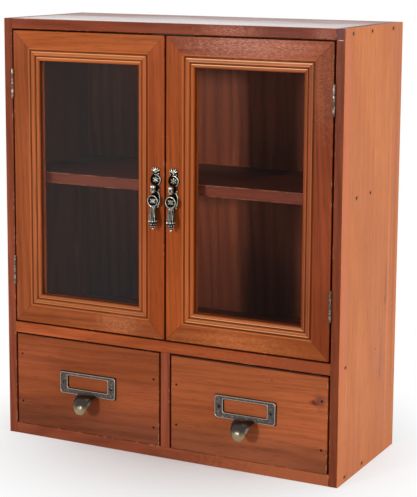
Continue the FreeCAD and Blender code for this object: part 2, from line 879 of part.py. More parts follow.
def backplate(name, middle, level, stem):
    """A cast plate: a crown of leaves, a rosette, a waist for the post, an open loop and a tip leaf."""
    wall = S.plate_wall.number
    relief = relief_wall.number
    root = FreeCAD.Vector(0, S.leaf_root_rise.number, 0)
    crown = [leaf_shape(root, root + FreeCAD.Rotation(FreeCAD.Vector(0, 0, 1), angle).multVec(
                 FreeCAD.Vector(0, S.crown_leaf_length.number, 0)), S.crown_leaf_width.number, relief)
             for angle in CROWN_ANGLES]
    centre = FreeCAD.Vector(0, -S.loop_drop.number, 0)
    hole_width = S.loop_half_width - S.loop_rim
    hole_height = S.loop_half_height - S.loop_rim
    ring = oval_shape(centre, S.loop_half_width.number, S.loop_half_height.number, wall).cut(
        oval_shape(centre, hole_width.number, hole_height.number, wall))
    loop_foot = centre - FreeCAD.Vector(0, hole_height.number, 0)
    tip = loop_foot - FreeCAD.Vector(0, (S.tip_leaf_length + S.loop_rim).number, 0)
    waist_drop = S.loop_drop - hole_height
    waist = Part.makeBox(S.waist_width.number, (S.rosette_rise - S.rosette_boss + waist_drop).number, relief,
                         FreeCAD.Vector(-S.waist_width.number / 2, -waist_drop.number, 0))
    tip_leaf = leaf_shape(loop_foot, tip, S.crown_leaf_width.number, wall)
    leaves = doc.addObject("Part::Feature", name + "leaves")
    leaves.Shape = ring.multiFuse(crown + [tip_leaf, waist])
    place(leaves, (middle, front, level), along((0, -1, 0)))
    flower = rosette(name + "rosette", (middle, front, level + S.rosette_rise), S.plate_wall)
    node(cut(name + "backplate", fuse(name + "backplate_blank", [flower, leaves]), [stem]),
         name + "backplate")


def post_stem(name, pivot):
    """The stem of the post: a bar from inside the door to the eye, with a collar on the plate."""
    x, y, z = pivot
    neck = S.pull_reach - S.eye_radius - S.eye_clearance - S.ear_play
    bar = rod(name + "bar", SCREW_SIDES, (x, front + S.post_bite, z), (0, -1, 0),
              S.post_radius, S.post_bite + neck)
    collar = rod(name + "collar", SCREW_SIDES, (x, front - relief_wall, z), (0, -1, 0),
                 S.post_collar_radius, S.post_collar_wall)
    return fuse(name + "stem", [bar, collar])


def pull_post(name, pivot, stem):
    """The stem with a flat eye at its front end, and the cross pin in the eye."""
    x, y, z = pivot
    half_gap = S.collar_radius - S.ear_wall - S.ear_play
    tongue_end = y + S.eye_radius + S.eye_clearance + S.ear_play
    eye = rod(name + "eye", TURNED_SIDES, (x - half_gap, y, z), (1, 0, 0), S.eye_radius, 2 * half_gap)
    tongue = block(name + "tongue", (x - half_gap, y, z - S.tongue_half_height),
                   (x + half_gap, tongue_end, z + S.tongue_half_height))
    start = (x - S.collar_radius, y, z)
    pin = round_pin(name + "cross_pin", start, (1, 0, 0), S.cross_pin_radius, 2 * S.collar_radius)
    bore = pin_bore(name + "eye_bore", start, (1, 0, 0), S.cross_pin_radius, 2 * S.collar_radius)
    post = cut(name + "post_bored", fuse(name + "post_blank", [eye, tongue, stem]), [bore])
    node(group(name + "post", [post, pin]), name + "post")


def drop_stem(name, pivot):
    """The round parts of the drop, one below the other, with flutes down its bell."""
    collar_top = S.eye_radius + S.eye_clearance
    collar = [
        (collar_top, S.collar_radius), (collar_top + S.collar_bevel, S.collar_waist),
        (S.collar_drop - S.collar_bevel, S.collar_waist), (S.collar_drop, S.collar_radius),
        (S.collar_drop + S.collar_bevel, S.neck_radius), (S.bell_top_drop, S.neck_radius),
    ]
    bell = [
        (S.bell_top_drop - S.collar_bevel, S.neck_radius), (S.bell_top_drop, S.bell_top_radius),
        (S.bell_middle_drop, S.bell_middle_radius), (S.bell_drop, S.bell_radius),
    ]
    bulb = [
        (S.bell_drop, S.bell_radius), (S.bulb_top_drop, S.bulb_radius), (S.bulb_bottom_drop, S.bulb_radius),
        (S.cup_middle_drop, S.cup_middle_radius), (S.cup_drop, S.finial_neck),
        (S.finial_drop, S.finial_radius), (S.pull_drop_length, S.finial_tip),
    ]
    solids = []
    for steps, sides, flute_share in ((collar, TURNED_SIDES, 0), (bell, 2 * FLUTES, FLUTE_SHARE),
                                      (bulb, ROSETTE_SIDES, 0)):
        solids.append(flat_faced_solid([ring_of_points(-drop.number, radius.number, sides, flute_share)
                                        for drop, radius in steps]))
    stem = doc.addObject("Part::Feature", name + "drop_stem")
    stem.Shape = solids[0].multiFuse(solids[1:])
    place(stem, pivot)
    return stem


def pull_drop(name, pivot):
    """The hanging drop: two ears on the cross pin, a collar, a medallion, a bell, a bulb and a finial."""
    x, y, z = pivot
    medallion = rosette(name + "medallion", (x, y + S.medallion_wall / 2, z - S.medallion_drop),
                        S.medallion_wall)
    pieces = [drop_stem(name, pivot), medallion]
    collar = z - S.eye_radius - S.eye_clearance - S.collar_bevel
    for ear_name, start in (("left", x - S.collar_radius), ("right", x + S.collar_radius - S.ear_wall)):
        pieces.append(rod(f"{name}{ear_name}_ear", TURNED_SIDES, (start, y, z), (1, 0, 0),
                          S.eye_radius, S.ear_wall))
        pieces.append(block(f"{name}{ear_name}_ear_neck", (start, y - S.ear_neck, collar),
                            (start + S.ear_wall, y + S.ear_neck, z)))
    bore = pin_bore(name + "ear_bore", (x - S.collar_radius, y, z), (1, 0, 0),
                    S.cross_pin_radius, 2 * S.collar_radius)
    node(cut(name + "drop", fuse(name + "drop_blank", pieces), [bore]), name + "drop")


# Drawers
def drawer(side, name):
    """One drawer: front, grooved sides, back, bottom, nails and label holder."""
    outer = side * (inner_side - S.drawer_side_gap)
    inner = side * (S.partition_wall / 2 + S.drawer_side_gap)
    left, right = sorted((outer, inner), key=lambda size: size.number)
    low = S.bottom_wall + S.drawer_lift
    box_near = front + S.drawer_front_wall
    box_far = front + drawer_length
    box_top = low + drawer_front_height - S.drawer_side_drop
    panel_low = low + S.drawer_bottom_lift
    panel_high = panel_low + S.drawer_bottom_wall
    box_left = left + S.drawer_side_inset
    box_right = right - S.drawer_side_inset
    in_left = box_left + S.drawer_side_wall
    in_right = box_right - S.drawer_side_wall
    groove = block(name + "_groove",
                   (in_left - S.drawer_groove, box_near - S.drawer_groove, panel_low),
                   (in_right + S.drawer_groove, box_far, panel_high))
    ends = {"left": box_left + S.drawer_side_wall / 2, "right": box_right - S.drawer_side_wall / 2}
    front_nails = {}
    for (end, across), shares in zip(ends.items(), DRAWER_NAIL_SHARES[name]):
        front_nails[end] = [rod(f"{name}_{end}_nail_{number}", NAIL_SIDES,
                                (across, front, low + drawer_front_height * share), (0, 1, 0),
                                S.drawer_nail_radius, S.drawer_nail_length)
                            for number, share in enumerate(shares)]
    back_nails = {}
    for end, start, way in (("left", box_left, 1), ("right", box_right, -1)):
        back_nails[end] = [rod(f"{name}_{end}_back_nail_{number}", NAIL_SIDES,
                               (start, box_far - S.drawer_back_wall / 2,
                                low + (drawer_front_height - S.drawer_side_drop) * share), (way, 0, 0),
                               S.drawer_nail_radius, S.drawer_nail_length)
                           for number, share in enumerate(DRAWER_BACK_NAIL_SHARES)]
    screws = label_holder(side, name, low + S.holder_rise)
    face = board(name + "_front_blank", (left, front, low), (right, box_near, low + drawer_front_height),
                 FRONT_SEAMS + (("front", "left"), ("front", "right")))
    node(cut(name + "_front", face, [groove] + front_nails["left"] + front_nails["right"] + screws),
         name + "_front")
    for end, one, other in (("left", box_left, in_left), ("right", in_right, box_right)):
        wall = board(f"{name}_{end}_side_blank", (one, box_near, low), (other, box_far, box_top))
        node(cut(f"{name}_{end}_side", wall, [groove] + front_nails[end] + back_nails[end]),
             f"{name}_{end}_side")
    rear = board(name + "_back_blank", (in_left, box_far - S.drawer_back_wall, panel_high),
                 (in_right, box_far, box_top))
    node(cut(name + "_back", rear, back_nails["left"] + back_nails["right"]), name + "_back")
    play = S.drawer_groove - S.drawer_panel_play
    node(board(name + "_bottom", (in_left - play, box_near - play, panel_low),
               (in_right + play, box_far, panel_high)), name + "_bottom")
    nails = [nail for ends in (front_nails, back_nails) for group_of in ends.values() for nail in group_of]
    node(group(name + "_nails", nails), name + "_nails")


def label_holder(side, name, level):
    """A cast frame for a paper label, with the finger scoop below it. Gives its two screws."""
    middle = side * S.holder_reach
    half_width = S.holder_width / 2
    half_height = S.holder_height / 2
    rim = S.holder_rim
    body = new_body(name + "_holder_plate")
    plate = new_sketch(body, "XZ_Plane")
    clipped_rectangle(plate, (-half_width, -half_height), (half_width, half_height), S.holder_corner)
    pad(body, plate, S.holder_wall)
    window_low = (-(S.window_width / 2), S.window_lift - S.window_height / 2)
    window_high = (S.window_width / 2, S.window_lift + S.window_height / 2)
    window = new_sketch(body, "XZ_Plane")
    clipped_rectangle(window, window_low, window_high, S.window_corner)
    pocket(body, window)
    field = new_sketch(body, "XZ_Plane", S.holder_wall)
    clipped_rectangle(field, (-half_width + rim, -half_height + rim), (half_width - rim, half_height - rim),
                      S.holder_corner - rim)
    clipped_rectangle(field, (window_low[0] - rim, window_low[1] - rim),
                      (window_high[0] + rim, window_high[1] + rim), S.window_corner + rim)
    pocket(body, field, S.holder_relief)
    slot = new_sketch(body, "XZ_Plane")
    rectangle(slot, (window_low[0] - S.card_lap, window_low[1] - S.card_lap),
              (window_high[0] + S.card_lap, half_height))
    pocket(body, slot, S.card_depth, reverse=True)
    place(body, (middle, front, level))
    scoop = doc.addObject("Part::Feature", name + "_scoop")
    scoop.Shape = scoop_shape()
    place(scoop, (middle, front, level - half_height))
    screws = []
    for number, across in enumerate((middle - half_width + S.holder_screw_inset,
                                     middle + half_width - S.holder_screw_inset)):
        start = (across, front - S.holder_wall + S.holder_relief - S.holder_screw_head, level)
        screws.append(screw(f"{name}_holder_screw_{number}", start, (0, 1, 0), S.holder_screw_head_radius,
                            S.holder_screw_head, S.holder_screw_head + S.holder_screw_length))
    node(cut(name + "_label_holder", fuse(name + "_holder_blank", [body, scoop]), screws),
         name + "_label_holder")
    node(group(name + "_holder_screws", screws), name + "_holder_screws")
    return screws


def scoop_shape():
    """A tongue that curves forward and down from the holder's lower edge, crowned across."""
    sections = []
    shares = zip(SCOOP_TURN_SHARES, SCOOP_WIDTH_SHARES, SCOOP_CROWN_SHARES)
    for turn_share, width_share, crown_share in shares:
        angle = turn_share * math.pi / 2
        ahead = S.scoop_overlap.number + S.scoop_reach.number * math.sin(angle)
        down = S.scoop_drop.number * (1 - math.cos(angle))
        normal = FreeCAD.Vector(0, -S.scoop_drop.number * math.sin(angle),
                                S.scoop_reach.number * math.cos(angle)).normalize()
        width = S.scoop_root.number * width_share
        outer = [FreeCAD.Vector(across * width / 2, -ahead, -down)
                 + normal * (width * crown_share * (1 - across ** 2)) for across in SCOOP_ACROSS_SHARES]
        inner = [corner - normal * S.scoop_wall.number for corner in reversed(outer)]
        sections.append(outer + inner)
    return flat_faced_solid(sections)


def check_and_write():
    """Stop at any object or sub-part that failed, and write each sub-part's file."""
    doc.recompute()
    failed = [item.Label for item in doc.Objects if {"Invalid", "Error"} & set(item.State)]
    if failed:
        raise RuntimeError("objects that failed: " + ", ".join(failed))
    for item in nodes:
        if item.Shape.isNull() or not item.Shape.isValid() or not item.Shape.Solids:
            raise RuntimeError("sub-part with no valid solid: " + item.Label)
    os.makedirs("parts", exist_ok=True)
    for item in nodes:
        item.Shape.exportStep(os.path.join("parts", item.Label + ".step"))
    print(len(nodes), "sub-parts,", sum(len(item.Shape.Solids) for item in nodes), "solids")


catch_screws = catch_fixings()
side_panel_nails = case(catch_screws)
catch(catch_screws)
hinge_pins = []
case_screws = []
for side, side_name in SIDES:
    pins, side_case_screws, side_door_screws = hinges(side, side_name)
    hinge_pins += pins
    case_screws += side_case_screws
    blank = case_side_blank(side_name + "_side_panel", side)
    node(cut(side_name + "_side_panel", blank, side_panel_nails[side] + side_case_screws),
         side_name + "_side_panel")
    door(side, side_name, side_door_screws)
    drawer(side, side_name + "_drawer")
node(group("hinge_pins", hinge_pins), "hinge_pins")
node(group("case_screws", case_screws + catch_screws), "case_screws")
check_and_write()
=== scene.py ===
"""Desktop cabinet: stained boards, moulded glazed doors, cast drop pulls and label holders."""
import math

import bmesh
import bpy
from mathutils import Matrix, Vector


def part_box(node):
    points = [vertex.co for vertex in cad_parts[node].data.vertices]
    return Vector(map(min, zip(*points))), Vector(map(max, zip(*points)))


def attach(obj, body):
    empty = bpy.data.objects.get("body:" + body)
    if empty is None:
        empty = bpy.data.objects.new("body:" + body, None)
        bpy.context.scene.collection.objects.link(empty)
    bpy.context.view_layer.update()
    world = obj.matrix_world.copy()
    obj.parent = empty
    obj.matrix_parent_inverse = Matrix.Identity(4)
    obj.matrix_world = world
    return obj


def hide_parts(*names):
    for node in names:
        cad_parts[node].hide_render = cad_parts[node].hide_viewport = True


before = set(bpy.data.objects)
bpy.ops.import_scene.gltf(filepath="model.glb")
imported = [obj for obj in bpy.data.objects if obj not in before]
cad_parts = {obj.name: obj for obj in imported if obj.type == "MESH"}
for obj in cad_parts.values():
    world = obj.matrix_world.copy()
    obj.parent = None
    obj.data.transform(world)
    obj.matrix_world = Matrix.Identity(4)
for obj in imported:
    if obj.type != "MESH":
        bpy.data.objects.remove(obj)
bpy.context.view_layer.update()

MM = 0.001
SIDES = ((-1, "left"), (1, "right"))
NO_PLACE = Matrix.Identity(4)
FULL_TURN = 2 * math.pi
QUARTER_TURN = math.pi / 2

# Places and sizes on the cabinet, in millimetres
FRONT = -72.5
SIDE_FACE = 180
HINGE_ACROSS, HINGE_DEPTH = 170.0, -73.8
KNUCKLE_STEP = 29.2 / 3
PULL_ACROSS, PULL_LEVEL, PULL_AHEAD = 9.6, 266.2, 6.5
HOLDER_ACROSS, HOLDER_LEVEL, HOLDER_SCREW_ACROSS = 86.1, 61.3, 27.2
SCOOP_WIDTH, SCOOP_REACH, SCOOP_DROP, SCOOP_WALL = 21.0, 16.2, 13.8, 1.2


def shift(across, depth, level):
    """A move by the given millimetres."""
    return Matrix.Translation((across * MM, depth * MM, level * MM))


# Shader nodes
def feed(tree, socket, value):
    """Joins a socket to another one, or gives it a plain value."""
    if isinstance(value, bpy.types.NodeSocket):
        tree.links.new(value, socket)
    elif value is not None:
        socket.default_value = value


def feed_all(tree, node, values):
    for label, value in values.items():
        feed(tree, node.inputs[label], value)


def maths(tree, operation, first, second=None, third=None):
    made = tree.nodes.new("ShaderNodeMath")
    made.operation = operation
    for socket, value in zip(made.inputs, (first, second, third)):
        feed(tree, socket, value)
    return made.outputs[0]


def times(tree, first, second):
    return maths(tree, "MULTIPLY", first, second)


def vectors(tree, operation, first, second=None):
    made = tree.nodes.new("ShaderNodeVectorMath")
    made.operation = operation
    feed(tree, made.inputs[0], first)
    feed(tree, made.inputs[1], second)
    return made.outputs["Value" if operation == "LENGTH" else "Vector"]


def split(tree, vector):
    made = tree.nodes.new("ShaderNodeSeparateXYZ")
    feed(tree, made.inputs[0], vector)
    return made.outputs[0], made.outputs[1], made.outputs[2]


def combine(tree, value):
    """The same number three times, as a vector."""
    made = tree.nodes.new("ShaderNodeCombineXYZ")
    for socket in made.inputs:
        feed(tree, socket, value)
    return made.outputs[0]


def noise(tree, vector, scale, detail=2.0, roughness=0.5):
    made = tree.nodes.new("ShaderNodeTexNoise")
    feed_all(tree, made, {"Vector": vector, "Scale": scale, "Detail": detail,
                          "Roughness": roughness})
    return made.outputs["Fac"]


def between(tree, value, low, high, out_low=0.0, out_high=1.0):
    """Eases from one value to another as the given value goes from low to high."""
    made = tree.nodes.new("ShaderNodeMapRange")
    made.interpolation_type = "SMOOTHSTEP"
    feed_all(tree, made, {"Value": value, "From Min": low, "From Max": high,
                          "To Min": out_low, "To Max": out_high})
    return made.outputs["Result"]


def blend(tree, share, first, second, kind="MIX"):
    made = tree.nodes.new("ShaderNodeMix")
    made.data_type = "RGBA"
    made.blend_type = kind
    feed(tree, made.inputs[0], share)
    feed(tree, made.inputs[6], first)
    feed(tree, made.inputs[7], second)
    return made.outputs[2]


def bump(tree, height, strength, distance):
    made = tree.nodes.new("ShaderNodeBump")
    feed_all(tree, made, {"Strength": strength, "Distance": distance, "Height": height})
    return made.outputs["Normal"]


def mix_surface(tree, share, first, second):
    """Gives a material a mix of two shaders as its surface."""
    mixed = tree.nodes.new("ShaderNodeMixShader")
    for socket, value in zip(mixed.inputs, (share, first.outputs[0], second.outputs[0])):
        feed(tree, socket, value)
    feed(tree, tree.nodes["Material Output"].inputs["Surface"], mixed.outputs[0])


def stain(red, green, blue):
    """A colour as a paint card gives it, 0 to 255, turned into light."""
    shades = []
    for value in (red / 255, green / 255, blue / 255):
        shades.append(value / 12.92 if value <= 0.04045 else ((value + 0.055) / 1.055) ** 2.4)
    return (*shades, 1.0)


# Node groups
BOX_INPUTS = ("Place", "Low", "High")


def new_group(name, given, results):
    """A node group, its inputs and its last node, from the names of its sockets by their kind."""
    group = bpy.data.node_groups.new(name, "ShaderNodeTree")
    for way, kinds in (("INPUT", given), ("OUTPUT", results)):
        for kind, labels in kinds.items():
            for label in labels:
                group.interface.new_socket(label, in_out=way, socket_type="NodeSocket" + kind)
    return group, group.nodes.new("NodeGroupInput").outputs, group.nodes.new("NodeGroupOutput")


def use_group(tree, group, **values):
    """Places a group in a material and fills its inputs, whose spaces are underscores here."""
    made = tree.nodes.new("ShaderNodeGroup")
    made.node_tree = group
    for label, value in values.items():
        feed(tree, made.inputs[label.replace("_", " ").capitalize()], value)
    return made.outputs


def depths_inside(group, given):
    """How far a place is inside each pair of a box's faces: three numbers."""
    from_low = vectors(group, "SUBTRACT", given["Place"], given["Low"])
    from_high = vectors(group, "SUBTRACT", given["High"], given["Place"])
    return split(group, vectors(group, "MINIMUM", from_low, from_high))


def make_wood_figure():
    """Growth rings, streaks, fibres and pores of wood whose grain runs along the first axis."""
    group, given, end = new_group("wood_figure", {
        "Vector": ["Grain place"], "Color": ["Pale", "Middle", "Dark"],
        "Float": ["Ring width", "Figure", "Streaks"],
    }, {"Color": ["Color"], "Float": ["Height", "Cloud"]})
    place = given["Grain place"]

    def drawn_out(stretch, detail=2.0, roughness=0.5):
        """Noise that is drawn out along the grain."""
        return noise(group, vectors(group, "MULTIPLY", place, stretch), 1.0, detail, roughness)

    across, through = split(group, place)[1:]
    reach = maths(group, "SQRT", maths(group, "ADD", times(group, across, across),
                                       times(group, through, through)))
    reach = maths(group, "MULTIPLY_ADD", drawn_out((5, 26, 26)), 0.022, reach)
    turn = times(group, maths(group, "DIVIDE", reach, given["Ring width"]), FULL_TURN)
    wave = maths(group, "MULTIPLY_ADD", maths(group, "SINE", turn), 0.5, 0.5)
    ring = maths(group, "POWER", wave, 2.0)
    streak = drawn_out((3.5, 150, 150), 3.0, 0.6)
    fibre = drawn_out((22, 900, 900))
    pore = between(group, drawn_out((45, 1400, 1400), 1.0), 0.62, 0.72)
    cloud = drawn_out((7, 15, 15))
    colour = blend(group, between(group, cloud, 0.42, 0.68), given["Middle"], given["Pale"])
    colour = blend(group, times(group, ring, given["Figure"]), colour, given["Dark"])
    dark_streak = times(group, between(group, streak, 0.48, 0.72), given["Streaks"])
    colour = blend(group, dark_streak, colour, given["Dark"])
    pale_streak = times(group, between(group, streak, 0.46, 0.26), given["Streaks"])
    colour = blend(group, times(group, pale_streak, 0.6), colour, given["Pale"])
    shade = maths(group, "MULTIPLY_ADD", fibre, 0.36, 0.82)
    shade = times(group, shade, maths(group, "MULTIPLY_ADD", pore, -0.3, 1.0))
    height = maths(group, "MULTIPLY_ADD", fibre, 0.5, times(group, ring, -0.25))
    feed_all(group, end, {
        "Color": vectors(group, "MULTIPLY", colour, combine(group, shade)), "Cloud": cloud,
        "Height": maths(group, "MULTIPLY_ADD", pore, -0.6, height)})
    return group


def make_edge_wear():
    """Where a box of the given corners has its edges, for wear and painted edge highlights, broken
    up as rubbed stain is.
    """
    wear_and_glint_width = 0.8 * MM
    group, given, end = new_group("edge_wear", {"Vector": BOX_INPUTS, "Float": ["Share"]},
                                  {"Float": ["Wear and glint"]})
    first, second, third = depths_inside(group, given)
    middle = maths(group, "MAXIMUM", maths(group, "MINIMUM", first, second),
                   maths(group, "MINIMUM", maths(group, "MAXIMUM", first, second), third))
    edge = between(group, maths(group, "DIVIDE", middle, wear_and_glint_width), 0.2, 1.0, 1.0, 0.0)
    patch = noise(group, given["Place"], 120.0, 3.0, 0.65)
    kept = between(group, maths(group, "ADD", patch, given["Share"]), 0.92, 1.08)
    feed_all(group, end, {"Wear and glint": times(group, edge, kept)})
    return group


def make_moulding():
    """How far a place on a door frame is from the frame's outer edge, and from the mitre line."""
    group, given, end = new_group("door_moulding", {"Vector": BOX_INPUTS},
                                  {"Float": ["Inward", "Mitre"]})
    across, _, upright = depths_inside(group, given)
    apart = maths(group, "SUBTRACT", across, upright)
    feed_all(group, end, {"Inward": maths(group, "MINIMUM", across, upright),
                          "Mitre": maths(group, "ABSOLUTE", apart)})
    return group


def make_spot():
    """A round spot with a soft uneven rim, such as a knot or a patch of painted sheen."""
    group, given, end = new_group("spot", {
        "Vector": ["Place", "Centre", "Squash"], "Float": ["Size"]}, {"Float": ["Mask"]})
    away = vectors(group, "MULTIPLY", vectors(group, "SUBTRACT", given["Place"], given["Centre"]),
                   given["Squash"])
    reach = maths(group, "DIVIDE", vectors(group, "LENGTH", away), given["Size"])
    ragged = maths(group, "MULTIPLY_ADD", noise(group, given["Place"], 260.0), 0.9, reach)
    feed_all(group, end, {"Mask": between(group, ragged, 0.55, 1.45, 1.0, 0.0)})
    return group


def make_within():
    """Where a place is inside a box."""
    group, given, end = new_group("within", {"Vector": BOX_INPUTS, "Float": ["Softness"]},
                                  {"Float": ["Mask"]})
    first, second, third = depths_inside(group, given)
    least = maths(group, "MINIMUM", maths(group, "MINIMUM", first, second), third)
    feed_all(group, end, {"Mask": between(group, least, 0.0, given["Softness"])})
    return group


def make_patina():
    """Blotches and pits of an antiqued casting."""
    group, given, end = new_group("patina", {
        "Vector": ["Place"], "Color": ["Bright", "Dark"], "Float": ["Rub", "Mottle"],
    }, {"Color": ["Color"], "Float": ["Rub", "Height"]})
    blotch = noise(group, given["Place"], 420.0, 3.0, 0.6)
    pits = noise(group, given["Place"], 1500.0, 2.0)
    uneven = maths(group, "MULTIPLY_ADD", maths(group, "SUBTRACT", blotch, 0.5),
                   given["Mottle"], 0.5)
    rubbed = between(group, maths(group, "ADD", uneven, given["Rub"]), 0.8, 1.2)
    feed_all(group, end, {"Color": blend(group, rubbed, given["Dark"], given["Bright"]),
                          "Rub": rubbed, "Height": maths(group, "MULTIPLY_ADD", pits, 0.6, blotch)})
    return group


WOOD_FIGURE = make_wood_figure()
EDGE_WEAR_AND_GLINT = make_edge_wear()
MOULDING = make_moulding()
SPOT = make_spot()
WITHIN = make_within()
PATINA = make_patina()

# Materials
GRAIN_TURNS = {"x": (0, 0, 0), "y": (0, 0, -90), "z": (0, 90, 0)}
WORN_AND_GLINTING = stain(206, 140, 102)
NAIL_STAIN = (36, 12, 6)
VARNISH_SPECULAR = 0.07
INTERIOR_DIM = (0.55, 0.46, 0.42, 1)
FOOT_DIM = (0.6, 0.66, 0.85, 1)


def tones(red, green, blue):
    """The pale, middle and dark tones of a wood, whose middle one is as a paint card gives it."""
    middle = stain(red, green, blue)
    pale = (*[min(1.0, value * 1.28 + 0.006) for value in middle[:3]], 1.0)
    dark = (middle[0] * 0.56, middle[1] * 0.5, middle[2] * 0.5, 1.0)
    return pale, middle, dark


# Tones of the sides' outer faces: thinner stain together with painted light from the side.
OUTSIDE_STAIN_AND_LIGHT = (stain(214, 130, 78), stain(203, 116, 62), stain(178, 94, 50))
BACK_BROWN = tones(124, 59, 30)
PLAIN_WOOD = tones(190, 146, 98)


def new_material(name):
    """An empty material: itself, its tree, its surface shader and the place on the object."""
    material = bpy.data.materials.new(name)
    material.use_nodes = True
    tree = material.node_tree
    shader = tree.nodes["Principled BSDF"]
    place = tree.nodes.new("ShaderNodeTexCoord").outputs["Object"]
    return material, tree, shader, place


def wood(tree, place, shades, grain, pith, ring, figure, streaks, tilt=2.0):
    """Wood figure in three shades, with its grain along an axis and its pith beside the board."""
    made = tree.nodes.new("ShaderNodeMapping")
    made.inputs["Location"].default_value = pith
    turns = [math.radians(angle + tilt) for angle in GRAIN_TURNS[grain]]
    made.inputs["Rotation"].default_value = turns
    feed(tree, made.inputs["Vector"], place)
    return use_group(tree, WOOD_FIGURE, grain_place=made.outputs[0], pale=shades[0],
                     middle=shades[1], dark=shades[2], ring_width=ring, figure=figure,
                     streaks=streaks)


def rub_and_glint_edges(tree, place, colour, low, high, share, strength):
    """Pale broken wear along the edges of a box, with painted highlights where the edges catch the
    light.
    """
    edge = use_group(tree, EDGE_WEAR_AND_GLINT, place=place, low=low, high=high, share=share)["Wear and glint"]
    return blend(tree, times(tree, edge, strength), colour, WORN_AND_GLINTING)


def within(tree, place, low, high, softness=0.0004):
    return use_group(tree, WITHIN, place=place, low=low, high=high, softness=softness)["Mask"]


def marked(tree, place, colour, spots, speckled=False):
    """Adds round marks, each a (centre, size, squash, tone), in millimetres, to a colour.

    Marks of painted sheen are broken up into specks."""
    for centre, size, squash, tone in spots:
        share = use_group(tree, SPOT, place=place, centre=[part * MM for part in centre],
                          size=size * MM, squash=squash)["Mask"]
        if speckled:
            drawn_out = vectors(tree, "MULTIPLY", place, (0.35, 1, 2.6))
            sheen_specks = noise(tree, drawn_out, 900.0, 3.0, 0.7)
            share = times(tree, share, between(tree, sheen_specks, 0.42, 0.66, 0.05, 0.5))
        colour = blend(tree, share, colour, stain(*tone))
    return colour


def board_finish(name, shades, grain, pith, low, high, ring=0.006, figure=0.4, streaks=0.5,
                 wear=0.36, roughness=0.42, gloss=0.08, spots=(), speckled=(), outside=None,
                 shaded_from=None, darker_below=None, gap_shadow=None, grime=None,
                 polished_top=False):
    """Stained and varnished board: its figure, rubbed edges with painted highlights, knots,
    uneven varnish and patches of painted sheen.

    The outside is the side, -1 or 1, whose outer face is paler, partly from thinner stain and
    partly from painted light. The inside of the case is dim from the depth that it is shaded from.
    A gap shadow is a box that a dark line fills. The box round a fitting gets painted shade along
    its border, for the fitting's shadow on the board. A polished top is glossiest near its front."""
    material, tree, shader, place = new_material(name)
    figured = wood(tree, place, shades, grain, pith, ring, figure, streaks)
    colour = figured["Color"]
    if outside:
        colour = pale_lit_outside(tree, place, colour, outside, pith)
    colour = marked(tree, place, colour, spots)
    colour = marked(tree, place, colour, speckled, speckled=True)
    # Painted shade: the board darkens towards its bottom, where less light reaches it.
    if darker_below is not None:
        lower = between(tree, split(tree, place)[2], darker_below * 1.5 * MM,
                        darker_below * 0.5 * MM)
        colour = blend(tree, lower, colour, FOOT_DIM, "MULTIPLY")
    # Pale edges: rubbed wear together with painted highlights where the edges catch the light.
    colour = rub_and_glint_edges(tree, place, colour, low, high, wear, 0.75)
    if gap_shadow:
        line = within(tree, place, *gap_shadow, 0.0011)
        colour = blend(tree, times(tree, line, 0.88), colour, stain(30, 13, 9))
    if shaded_from is not None:
        inner = within(tree, place, (-0.1713, shaded_from * MM, 0.105), (0.1713, 0.0694, 0.4103))
        colour = blend(tree, inner, colour, INTERIOR_DIM, "MULTIPLY")
    # Painted shade: the border of the box round a fitting is darkened, for the fitting's shadow on
    # the board.
    if grime:
        border = Vector((9.3, -1, 4.9)) * MM
        outer = within(tree, place, *grime, 0.0012)
        unshaded = within(tree, place, Vector(grime[0]) + border, Vector(grime[1]) - border, 0.0006)
        painted_shade = maths(tree, "SUBTRACT", outer, unshaded)
        colour = blend(tree, times(tree, painted_shade, 0.6), colour, stain(34, 14, 8))
    dull = between(tree, figured["Cloud"], 0.3, 0.7, roughness - 0.08, roughness + 0.1)
    flecks = between(tree, noise(tree, place, 240.0, 2.0), 0.35, 0.66, gloss * 0.4, gloss)
    if polished_top:
        depth, upright = split(tree, place)[1:]
        front = between(tree, depth, -50 * MM, 35 * MM, 0.95, 0.12)
        even = between(tree, noise(tree, place, 18.0, 2.0), 0.3, 0.7, 0.8, 1.0)
        upper = between(tree, upright, 419.3 * MM, 419.8 * MM)
        flecks = times(tree, times(tree, front, even), upper)
    feed_all(tree, shader, {
        "Base Color": colour, "Roughness": dull, "Specular IOR Level": VARNISH_SPECULAR,
        "Coat Weight": flecks, "Coat Roughness": 0.2,
        "Normal": bump(tree, figured["Height"], 0.35, 0.0003)})
    return material


def pale_lit_outside(tree, place, colour, side, pith):
    """Paler wood on the outer face of a side panel, partly where the stain is thin and partly
    painted light, as if lit from the side.
    """
    figured = wood(tree, place, OUTSIDE_STAIN_AND_LIGHT, "z", pith, 0.011, 0.12, 0.3, tilt=1.0)
    outward = times(tree, split(tree, place)[0], side)
    mask = between(tree, outward, 179.2 * MM, 179.5 * MM)
    return blend(tree, mask, colour, figured["Color"])


